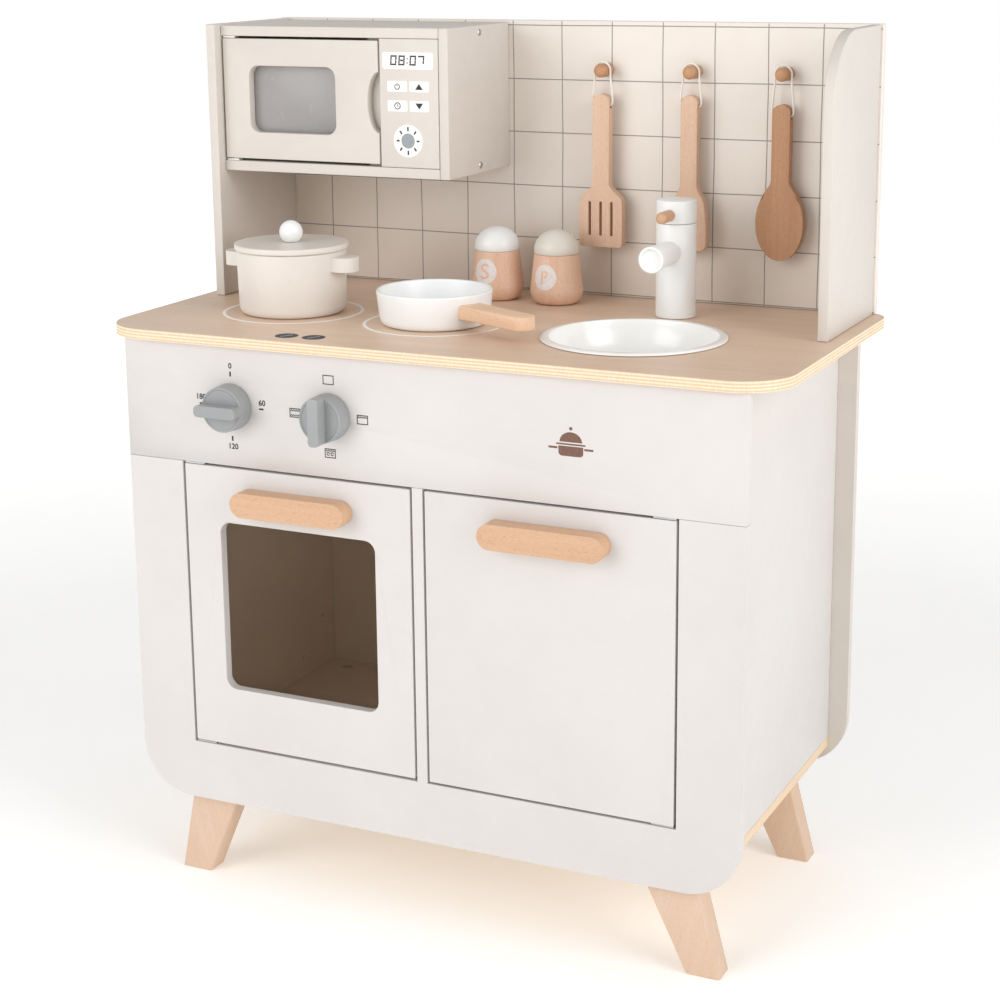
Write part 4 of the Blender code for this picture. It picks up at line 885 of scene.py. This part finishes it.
def build_tool(node, outline, peg, top_v, surface, slots=()):
    """A flat utensil with rounded edges and a cross hole for its cord."""
    centre = middle(peg)
    first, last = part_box(node)
    loops = [[(centre.x + u, centre.z + v) for u, v in outline]]
    for slot_u in slots:
        loops.append([(centre.x + slot_u - v, centre.z + u)
                      for u, v in stadium(-0.1315, 0, 0.031, 0.0026, 10)])
    tool = slab(node + "_board", loops, first.y, last.y, "front", surface, 0)
    work = opened(tool.data)
    bmesh.ops.dissolve_limit(work, angle_limit=0.01, verts=work.verts, edges=work.edges)
    closed(work, tool.data, False)
    narrow, wide, throat, reach = 0.0013, 0.0036, 0.0056, 0.012
    profile = [(0, -reach), (wide, -reach), (narrow, -throat), (narrow, throat), (wide, reach),
               (0, reach)]
    hole = lathe(node + "_hole", profile, (0, 0, 0), surface, steps=24)
    hole.data.transform(Matrix.Rotation(math.pi / 2, 4, "Y"))
    hole.data.transform(Matrix.Translation((centre.x, (first.y + last.y) / 2,
                                            centre.z + top_v - HOLE_DROP)))
    cut(tool, hole)
    ease(tool, 0.0013, 4, 55)
    put(tool, frame_body(node), "utensil_beech", node)


def frame_body(node):
    for body, members in frame["record"]["behaviour"]["bodies"].items():
        if node in members:
            return body
    return "kitchen"


# ---- cookware ------------------------------------------------------------------------
def vessel(base, rim, height, wall):
    edge = wall / 2
    inner_base = base - wall
    inner_rim = rim - wall
    return [
        (0, wall + 0.001), (inner_base - 0.003, wall + 0.001), (inner_base, wall + 0.004),
        (inner_rim, height - edge * 0.6), (inner_rim + edge * 0.5, height),
        (rim - edge * 0.5, height), (rim, height - edge * 0.6), (base + 0.0006, 0.005),
        (base - 0.001, 0.0015), (base - 0.0035, 0), (0, 0),
    ]


def build_pot():
    place = foot("pot_body")
    shell = lathe("pot_shell", fillet(vessel(0.0465, 0.0483, 0.0558, 0.004), 0.0022), place, CREAM)
    put(shell, "pot", "cream_lacquer", "pot_body")
    inner, corner = 0.0455, 0.011
    for side, sign in (("left", -1), ("right", 1)):
        node = f"pot_handle_{side}"
        box_low, box_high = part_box(node)
        reach = box_high.x - place[0] if sign > 0 else place[0] - box_low.x
        half = (box_high.y - box_low.y) / 2
        turn = arc(reach - corner, half - corner, corner, 0, 90, 14)
        outline = [(inner, -half)] + [(u, -v) for u, v in reversed(turn)] + turn + [(inner, half)]
        outline = [(place[0] + sign * u, place[1] + v) for u, v in outline]
        ear = slab(node + "_ear", [outline], box_low.z, box_high.z, "flat", CREAM, 0.0020, 4)
        put(ear, "pot", "cream_lacquer", node)
    lid_low, lid_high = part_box("pot_lid")
    plug = 0.004
    bottom = lid_low.z + plug
    thick = lid_high.z - bottom
    profile = [(0, thick), (0.050, thick), (0.050, 0), (0.0435, 0), (0.0425, -plug), (0, -plug)]
    lid = lathe("pot_lid_disc", fillet(profile, 0.0014), (place[0], place[1], bottom), CREAM)
    put(lid, "pot_lid", "cream_lacquer", "pot_lid")
    radius, sunk_angle = 0.0103, 55
    sunk = radius * math.sin(math.radians(sunk_angle))
    ball = arc(0, sunk, radius, 90, -sunk_angle, 29)
    ball[0] = (0, ball[0][1])
    knob_place = (place[0], place[1], low("pot_lid_knob").z)
    knob = lathe("pot_lid_ball", ball + [(0, 0)], knob_place, SATIN, steps=64)
    put(knob, "pot_lid", "white_enamel", "pot_lid_knob")


def build_pan():
    profile = fillet(vessel(0.0465, 0.0499, 0.0296, 0.0035), 0.0020)
    put(lathe("pan_shell", profile, foot("pan_body"), SATIN), "pan", "white_enamel", "pan_body")
    finished("pan_handle", PAN_WOOD, "pan", "beech", 0)


JAR_NECK = 0.0203
JAR_TOP = 0.0447
JAR_SEAT = 0.0197
BADGE_ANGLE = -math.pi / 2 + math.radians(-6)


def shaker_curve():
    belly, base = 0.0238, 0.0165
    side = [(JAR_NECK, JAR_TOP - 0.0006), (JAR_NECK + (belly - JAR_NECK) * 0.5, JAR_TOP * 0.62),
            (belly - 0.0004, JAR_TOP * 0.36), (belly, JAR_TOP * 0.24),
            (belly - 0.0015, JAR_TOP * 0.12), (belly - 0.0045, JAR_TOP * 0.03), (base, 0)]
    return flowing(side, 8)


def radius_at(height):
    curve = shaker_curve()
    for (r1, z1), (r2, z2) in zip(curve, curve[1:]):
        if z2 <= height <= z1:
            share = (height - z2) / (z1 - z2)
            return r2 + (r1 - r2) * share
    return curve[-1][0]


def build_shaker(name, cap_surface, cap_slot, letter, badge_z):
    body = f"{name}_shaker"
    place = foot(f"{name}_shaker_body")
    profile = [(0, JAR_TOP), (JAR_SEAT, JAR_TOP)] + shaker_curve() + [(0, 0)]
    jar = lathe(f"{name}_jar", profile, place, SHAKER_WOOD)
    put(jar, body, "utensil_beech", f"{name}_shaker_body")
    cap_low, cap_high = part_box(f"{name}_shaker_cap")
    tall = cap_high.z - cap_low.z
    wide, skirt = JAR_NECK * 0.995, 0.003
    profile = [(0, tall)]
    for step in range(1, 21):
        angle = math.radians(90 - 82 * step / 20)
        profile.append((wide * math.cos(angle), skirt + (tall - skirt) * math.sin(angle)))
    profile += [(JAR_NECK, 0.0012), (JAR_SEAT, 0), (0, 0)]
    cap = lathe(f"{name}_dome", profile, (place[0], place[1], cap_low.z), cap_surface)
    put(cap, body, cap_slot, f"{name}_shaker_cap")
    badge_radius, badge_lift, letter_lift = 0.0113, 0.00005, 0.00010
    badge = wrapped(f"{name}_badge", [circle(0, 0, badge_radius, 64)], place, badge_z, badge_lift,
                    BADGE_INK)
    put(badge, body, "white_enamel")
    mark = wrapped(f"{name}_letter", letter, place, badge_z, letter_lift, SHAKER_WOOD)
    put(mark, body, "utensil_beech")


def wrapped(name, loops, place, centre_z, lift, surface):
    """A thin flat shape laid round the jar's front, turned a little to the left."""
    mesh = slab_mesh(name, loops, -0.00006, 0.0, "front")
    work = opened(mesh)
    bmesh.ops.triangulate(work, faces=work.faces)
    for _ in range(2):
        long_edges = [e for e in work.edges if e.calc_length() > 0.0012]
        bmesh.ops.subdivide_edges(work, edges=long_edges, cuts=2)
        bmesh.ops.triangulate(work, faces=work.faces)
    for vert in work.verts:
        u, depth, v = vert.co
        height = centre_z - place[2] + v
        radius = radius_at(height) + lift - depth - PRINT_SINK
        angle = BADGE_ANGLE + u / radius_at(centre_z - place[2])
        vert.co = (place[0] + radius * math.cos(angle), place[1] + radius * math.sin(angle),
                   place[2] + height)
    return soften(new_item(name, closed(work, mesh), surface), 60)


def stroke(points, width):
    """A closed ribbon of even width along an open line."""
    left, right = [], []
    for number, point in enumerate(points):
        here = Vector(point)
        ahead = heading(points, number)
        side = Vector((-ahead.y, ahead.x)) * width / 2
        left.append(tuple(here + side))
        right.append(tuple(here - side))
    return left + list(reversed(right))


LETTER_S = [stroke(flowing([(0.0036, 0.0044), (0.0014, 0.0059), (-0.0018, 0.0056),
                            (-0.0032, 0.0036), (-0.0018, 0.0014), (0.0014, -0.0006),
                            (0.0034, -0.0030), (0.0020, -0.0054), (-0.0014, -0.0060),
                            (-0.0038, -0.0044)], 6), 0.0021)]
LETTER_P = [rounded_box(-0.0034, -0.0012, -0.0062, 0.0058),
            stroke(arc(-0.0004, 0.0026, 0.0028, 88, -88, 16), 0.0021)]


# ---- prints --------------------------------------------------------------------------
def wavy(start, end, steps, wobble, seed):
    """A line drawn by hand: nearly straight, with a slow waver."""
    draw = random.Random(seed)
    phase_one, phase_two = draw.uniform(0, 6.28), draw.uniform(0, 6.28)
    first, last = Vector(start), Vector(end)
    along = (last - first).normalized()
    side = Vector((-along.y, along.x))
    points = []
    for i in range(steps + 1):
        part = i / steps
        here = first.lerp(last, part)
        sway = math.sin(part * 9 + phase_one) * 0.7 + math.sin(part * 23 + phase_two) * 0.3
        points.append(tuple(here + side * sway * wobble))
    return points


def build_tile_lines():
    first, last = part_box("tile_panel")
    face = first.y
    column, row, first_row_z = 0.0484, 0.04822, 0.4993
    width, inset, wobble = 0.0009, 0.0006, 0.00035
    upright = []
    for number in range(-5, 6):
        here = number * column
        line = wavy((here, first.z + inset), (here, last.z - inset), 40, wobble, number + 20)
        upright.append(stroke(line, width))
    printed("tile_lines_upright", upright, face, "front", LINE_INK, "tile_print")
    level = []
    for number in range(6):
        here = first_row_z + number * row
        line = wavy((first.x + inset, here), (last.x - inset, here), 80, wobble, number + 50)
        level.append(stroke(line, width))
    printed("tile_lines_level", level, face - OVERPRINT, "front", LINE_INK, "tile_print")


def ring(centre_u, centre_v, outer, width):
    return [circle(centre_u, centre_v, outer), circle(centre_u, centre_v, outer - width)]


def build_hob():
    top = high("countertop").z
    ring_width, mark_radius, slash_width = 0.0030, 0.0098, 0.0011
    for name, vessel_node, radius in (("left", "pot_body", 0.0625), ("right", "pan_body", 0.0620)):
        place = middle(vessel_node)
        printed(f"hob_ring_{name}", ring(place.x, place.y, radius, ring_width), top, "flat",
                WHITE_INK, "birch_plywood")
    for name, x, y in (("left", -0.1290, -0.1205), ("right", -0.1045, -0.1182)):
        printed(f"hob_mark_{name}", [circle(x, y, mark_radius, 64)], top, "flat", SLATE_INK,
                "birch_plywood")
        slash = [(x - 0.0028, y - 0.0052), (x + 0.0028, y + 0.0052)]
        printed(f"hob_slash_{name}", [stroke(slash, slash_width)], top + 2 * OVERPRINT, "flat",
                SILVER_INK, "birch_plywood")


def glyph_mesh(text, size, centre_u, centre_v, surface_at, name):
    """Numbers of a dial as thin printed shapes on a front face."""
    letters = bpy.data.curves.new(name, "FONT")
    letters.body = text
    letters.size = size
    letters.align_x = "CENTER"
    letters.align_y = "CENTER"
    letters.extrude = (PRINT_HEIGHT + PRINT_SINK) / 2
    letters.resolution_u = 6
    letters.offset = 0.00018
    holder = bpy.data.objects.new(name + "_text", letters)
    bpy.context.scene.collection.objects.link(holder)
    graph = bpy.context.evaluated_depsgraph_get()
    mesh = bpy.data.meshes.new_from_object(holder.evaluated_get(graph))
    bpy.data.objects.remove(holder, do_unlink=True)
    mesh.transform(Matrix.Rotation(math.pi / 2, 4, "X"))
    middle_y = surface_at - (PRINT_HEIGHT - PRINT_SINK) / 2
    mesh.transform(Matrix.Translation((centre_u, middle_y, centre_v)))
    work = opened(mesh)
    bmesh.ops.remove_doubles(work, verts=work.verts, dist=WELD)
    return put(new_item(name, closed(work, mesh), BLACK_INK), "kitchen", "white_lacquer")


def frame_lines(low_u, high_u, low_v, high_v, width):
    return [rounded_box(low_u, high_u, low_v, high_v),
            rounded_box(low_u + width, high_u - width, low_v + width, high_v - width)]


def zigzag(centre_u, centre_v):
    half, teeth, tall, width = 0.0040, 5, 0.0012, 0.0009
    points = []
    for i in range(teeth * 2 + 1):
        points.append((centre_u - half + half * i / teeth,
                       centre_v + (tall / 2 if i % 2 else -tall / 2)))
    return stroke(points, width)


def build_dial_prints():
    face = low("control_panel").y
    left, right = middle("oven_knob"), middle("timer_knob")
    text_size = 0.0066
    for text, u, v in (("0", 0.0, 0.0345), ("60", 0.0302, 0.0052), ("120", 0.0004, -0.0347),
                       ("180", -0.0300, 0.0058)):
        glyph_mesh(text, text_size, left.x + u, left.z + v, face, f"dial_number_{text}")
    ticks = []
    for low_u, high_u, low_v, high_v in ((-0.0008, 0.0008, 0.0256, 0.0298),
                                         (-0.0008, 0.0008, -0.0298, -0.0256),
                                         (0.0272, 0.0316, -0.0006, 0.0008),
                                         (-0.0316, -0.0272, -0.0006, 0.0008)):
        ticks.append(rounded_box(left.x + low_u, left.x + high_u, left.z + low_v, left.z + high_v))
    printed("dial_ticks", ticks, face, "front", BLACK_INK, "white_lacquer")
    wide, tall, line = 0.0052, 0.0040, 0.0008
    frames = []
    for u, v in ((0.0, 0.0307), (0.0312, 0.0), (0.0, -0.0312), (-0.0325, 0.0)):
        x, z = right.x + u, right.z + v
        frames += frame_lines(x - wide, x + wide, z - tall, z + tall, line)
    printed("oven_symbols", frames, face, "front", BLACK_INK, "white_lacquer")
    marks = [zigzag(right.x + u, right.z + v) for u, v in
             ((0.0312, 0.0020), (-0.0325, 0.0020), (-0.0325, -0.0020), (0.0, -0.0291))]
    marks += [stroke(arc(right.x + u, right.z - 0.0318, 0.0012, 0, 330, 16), line)
              for u in (-0.0019, 0.0019)]
    printed("oven_symbol_marks", marks, face - OVERPRINT, "front", BLACK_INK, "white_lacquer")


def build_motif():
    """A small line drawing of a covered pan, printed where a play kitchen carries a motif."""
    x, z = 0.1360, 0.4335
    lid_z, lid_height = z + 0.0028, 0.85
    lid = [(u, lid_z + (v - lid_z) * lid_height) for u, v in arc(x, lid_z, 0.0095, 0, 180, 24)]
    loops = [rounded_box(x - 0.0105, x + 0.0105, z - 0.0085, z - 0.0005, (0.003, 0.003, 0, 0), 6),
             rounded_box(x - 0.0125, x + 0.0125, z + 0.0004, z + 0.0017, (0.0006,) * 4, 4),
             lid, circle(x, z + 0.0138, 0.0014, 24)]
    for low_u, high_u in ((-0.0190, -0.0114), (0.0114, 0.0190)):
        loops.append(stroke([(x + low_u, z - 0.0022), (x + high_u, z - 0.0022)], 0.0017))
    printed("cooking_motif", loops, low("control_panel").y, "front", BROWN_INK, "white_lacquer")


SEGMENTS = {"0": "abcdef", "7": "abc", "8": "abcdefg"}


def seven_segment(symbol, x, z):
    """Bars of one digit of a clock display, a little apart."""
    wide, tall, thick, gap, lean = 0.0062, 0.0086, 0.0014, 0.00012, 0.08
    half = tall / 2
    inner, right = x + thick, x + wide - thick
    low_bar, high_bar = (z + thick + gap, z + half - gap), (z + half + gap, z + tall - thick - gap)
    bars = {
        "a": (x, x + wide, z + tall - thick, z + tall),
        "g": (inner + gap, right - gap, z + half - thick / 2, z + half + thick / 2),
        "d": (x, x + wide, z, z + thick),
        "f": (x, inner, *high_bar),
        "b": (right, x + wide, *high_bar),
        "e": (x, inner, *low_bar),
        "c": (right, x + wide, *low_bar),
    }
    loops = []
    for key in SEGMENTS[symbol]:
        loops.append([(u + (v - z) * lean, v) for u, v in rounded_box(*bars[key])])
    return loops


def build_microwave_prints():
    face = low("microwave_control_panel").y
    raised = face - PRINT_HEIGHT
    plates = [rounded_box(-0.1169, -0.0675, 0.7073, 0.7217, (0.002,) * 4, 6)]
    for low_z, high_z in ((0.6878, 0.6970), (0.6708, 0.6802)):
        for low_x, high_x in ((-0.1125, -0.0932), (-0.0908, -0.0720)):
            plates.append(rounded_box(low_x, high_x, low_z, high_z, (0.0013,) * 4, 5))
    printed("display_plates", plates, face, "front", WHITE_INK, "white_enamel")
    marks = []
    x = -0.1095
    for symbol in "08:07":
        if symbol == ":":
            marks += [circle(x + 0.0009, 0.7127, 0.0007, 12),
                      circle(x + 0.0011, 0.7163, 0.0007, 12)]
            x += 0.0030
        else:
            marks += seven_segment(symbol, x, 0.7105)
            x += 0.0080
    arrow_x = -0.0815
    for arrow_z, sign in ((0.6923, 1), (0.6756, -1)):
        marks.append([(arrow_x - 0.0038, arrow_z - sign * 0.0025),
                      (arrow_x + 0.0038, arrow_z - sign * 0.0025),
                      (arrow_x, arrow_z + sign * 0.0027)])
    sign_x, power_z, clock_z = -0.1029, 0.6921, 0.6755
    marks += [stroke(arc(sign_x, power_z, 0.0023, 120, 420, 20), 0.0008),
              stroke([(sign_x, 0.6924), (sign_x, 0.6953)], 0.0008)]
    marks += ring(sign_x, clock_z, 0.0031, 0.0008)
    marks.append(stroke([(sign_x, 0.6770), (sign_x, 0.6753), (-0.1016, 0.6753)], 0.0007))
    printed("display_marks", marks, raised, "front", BLACK_INK, "white_enamel")
    dial_x, dial_z, plate_radius, centre_radius = -0.0931, 0.6453, 0.0142, 0.0066
    printed("dial_plate", [circle(dial_x, dial_z, plate_radius, 64)], face, "front", WHITE_INK,
            "white_enamel")
    printed("dial_centre", [circle(dial_x, dial_z, centre_radius, 48)], raised, "front",
            DIAL_GREY, "white_enamel")
    ticks = []
    for step in range(8):
        u, v = math.cos(math.radians(45 * step)), math.sin(math.radians(45 * step))
        ticks.append(stroke([(dial_x + u * 0.0084, dial_z + v * 0.0084),
                             (dial_x + u * 0.0113, dial_z + v * 0.0122)], 0.0015))
    printed("dial_marks", ticks, raised, "front", BLACK_INK, "white_enamel")


def screw_head(name, place, sideways, radius=0.0032):
    """A low head with a round recess."""
    stand, shank = 0.0006, -0.001
    profile = [(0, stand * 0.2), (radius * 0.55, stand * 0.2), (radius * 0.8, stand), (radius, 0),
               (radius, shank), (0, shank)]
    head = lathe(name, profile, (0, 0, 0), STEEL, "z", 32)
    if sideways:
        head.data.transform(Matrix.Rotation(math.pi / 2, 4, "Y"))
    head.data.transform(Matrix.Translation(place))
    put(head, "kitchen", "zinc_plate")


def build_screws():
    side = high("microwave_side_panel").x
    for name, z in (("top", 0.7363), ("bottom", 0.6193)):
        screw_head(f"case_screw_{name}", (side, 0.0962, z), True)
    wall = high("left_side_panel").x
    for name, y, z in (("high", 0.1345, 0.1566), ("low", 0.0955, 0.1254)):
        screw_head(f"wall_screw_{name}", (wall, y, z), True, 0.0024)
    screw_head("floor_cam", (-0.2293, 0.1388, high("bottom_board").z), False, 0.0055)


build_countertop()
build_front_frame()
build_carcass()
build_linings()
build_doors()
build_microwave_door()
build_knob("oven_knob", False)
build_knob("timer_knob", True)
build_sink()
build_tap()
build_pegs()
build_tool("slotted_turner", turner_outline(), "peg_left", TURNER_TOP, TOOL_WOOD,
           (-0.0105, 0.0, 0.0105))
build_tool("spatula", spatula_outline(), "peg_middle", SPATULA_TOP, TOOL_WOOD)
build_tool("spoon", spoon_outline(), "peg_right", SPOON_TOP, SPOON_WOOD)
build_pot()
build_pan()
build_shaker("salt", SATIN, "white_enamel", LETTER_S, 0.5250)
build_shaker("pepper", CAP_CREAM, "cream_lacquer", LETTER_P, 0.5235)
build_tile_lines()
build_hob()
build_dial_prints()
build_motif()
build_microwave_prints()
build_screws()


# ---- floor, light and camera ---------------------------------------------------------
CAMERA_PLACE = Vector((0.7562, -1.5636, 0.8259))
CAMERA_ANGLES = (-0.44565, -0.22969, -0.00968)  # azimuth, elevation and roll in radians
FOCAL_LENGTH = 74.25
VIEW_SHIFT = -0.09
SKY_LIGHT = 0.57
FLOOR_GLOW = 0.20
FAR_FLOOR_GLOW = 0.52
GLOW_REACH = (0.9, 2.4)
STUDIO_LIGHTS = (("Front", (-1.5, -2.8, 1.5), 2.2, 46), ("Right", (3.0, -0.9, 1.5), 2.0, 49))
LIGHT_TARGET = Vector((0, 0, 0.4))


def build_floor():
    """A pale floor that glows more the further it is from the kitchen."""
    work = bmesh.new()
    bmesh.ops.create_grid(work, x_segments=8, y_segments=8, size=6.0)
    mesh = closed(work, bpy.data.meshes.new("floor"), False)
    paint = lacquer("Floor_paint", "FDFDFC", "FBFBFA", 0.8)
    tree = paint.node_tree
    shader = tree.nodes["Principled BSDF"]
    shader.inputs["Emission Color"].default_value = (1.0, 0.99, 0.98, 1.0)
    point = add(tree, "TexCoord").outputs["Object"]
    away = add(tree, "VectorMath", {0: point}, operation="LENGTH").outputs["Value"]
    glow = spread(tree, away, *GLOW_REACH, FLOOR_GLOW, FAR_FLOOR_GLOW)
    tree.links.new(glow, shader.inputs["Emission Strength"])
    floor = new_item("floor", mesh, paint)


def area_light(name, place, size, power):
    lamp = bpy.data.lights.new(name, "AREA")
    lamp.shape = "RECTANGLE"
    lamp.size = lamp.size_y = size
    lamp.energy = power
    item = bpy.data.objects.new(name, lamp)
    item.location = place
    item.rotation_euler = (LIGHT_TARGET - Vector(place)).to_track_quat("-Z", "Y").to_euler()
    bpy.context.scene.collection.objects.link(item)


def build_light():
    world = bpy.data.worlds.new("Studio")
    bpy.context.scene.world = world
    world.use_nodes = True
    tree = world.node_tree
    sky = tree.nodes["Background"]
    sky.inputs["Color"].default_value = (1.0, 1.0, 1.0, 1.0)
    seen = add(tree, "LightPath").outputs["Is Camera Ray"]
    tree.links.new(spread(tree, seen, 0.0, 1.0, SKY_LIGHT, 1.0), sky.inputs["Strength"])
    for light in STUDIO_LIGHTS:
        area_light(*light)
    view = bpy.context.scene.view_settings
    view.view_transform = "Standard"
    view.look = "None"


def build_camera():
    lens = bpy.data.cameras.new("Camera")
    lens.lens = FOCAL_LENGTH
    lens.sensor_width = 36.0
    lens.shift_y = VIEW_SHIFT
    lens.clip_start = 0.05
    lens.clip_end = 30.0
    camera = bpy.data.objects.new("Camera", lens)
    bpy.context.scene.collection.objects.link(camera)
    azimuth, elevation, roll = CAMERA_ANGLES
    level = math.cos(elevation)
    ahead = Vector((math.sin(azimuth) * level, math.cos(azimuth) * level, math.sin(elevation)))
    right = ahead.cross(Vector((0, 0, 1))).normalized()
    up = right.cross(ahead)
    right_rolled = right * math.cos(roll) + up * math.sin(roll)
    up_rolled = -right * math.sin(roll) + up * math.cos(roll)
    turn = Matrix((right_rolled, up_rolled, -ahead)).transposed().to_4x4()
    camera.matrix_world = Matrix.Translation(CAMERA_PLACE) @ turn
    bpy.context.scene.camera = camera


build_floor()
build_light()
build_camera()

bpy.context.view_layer.update()
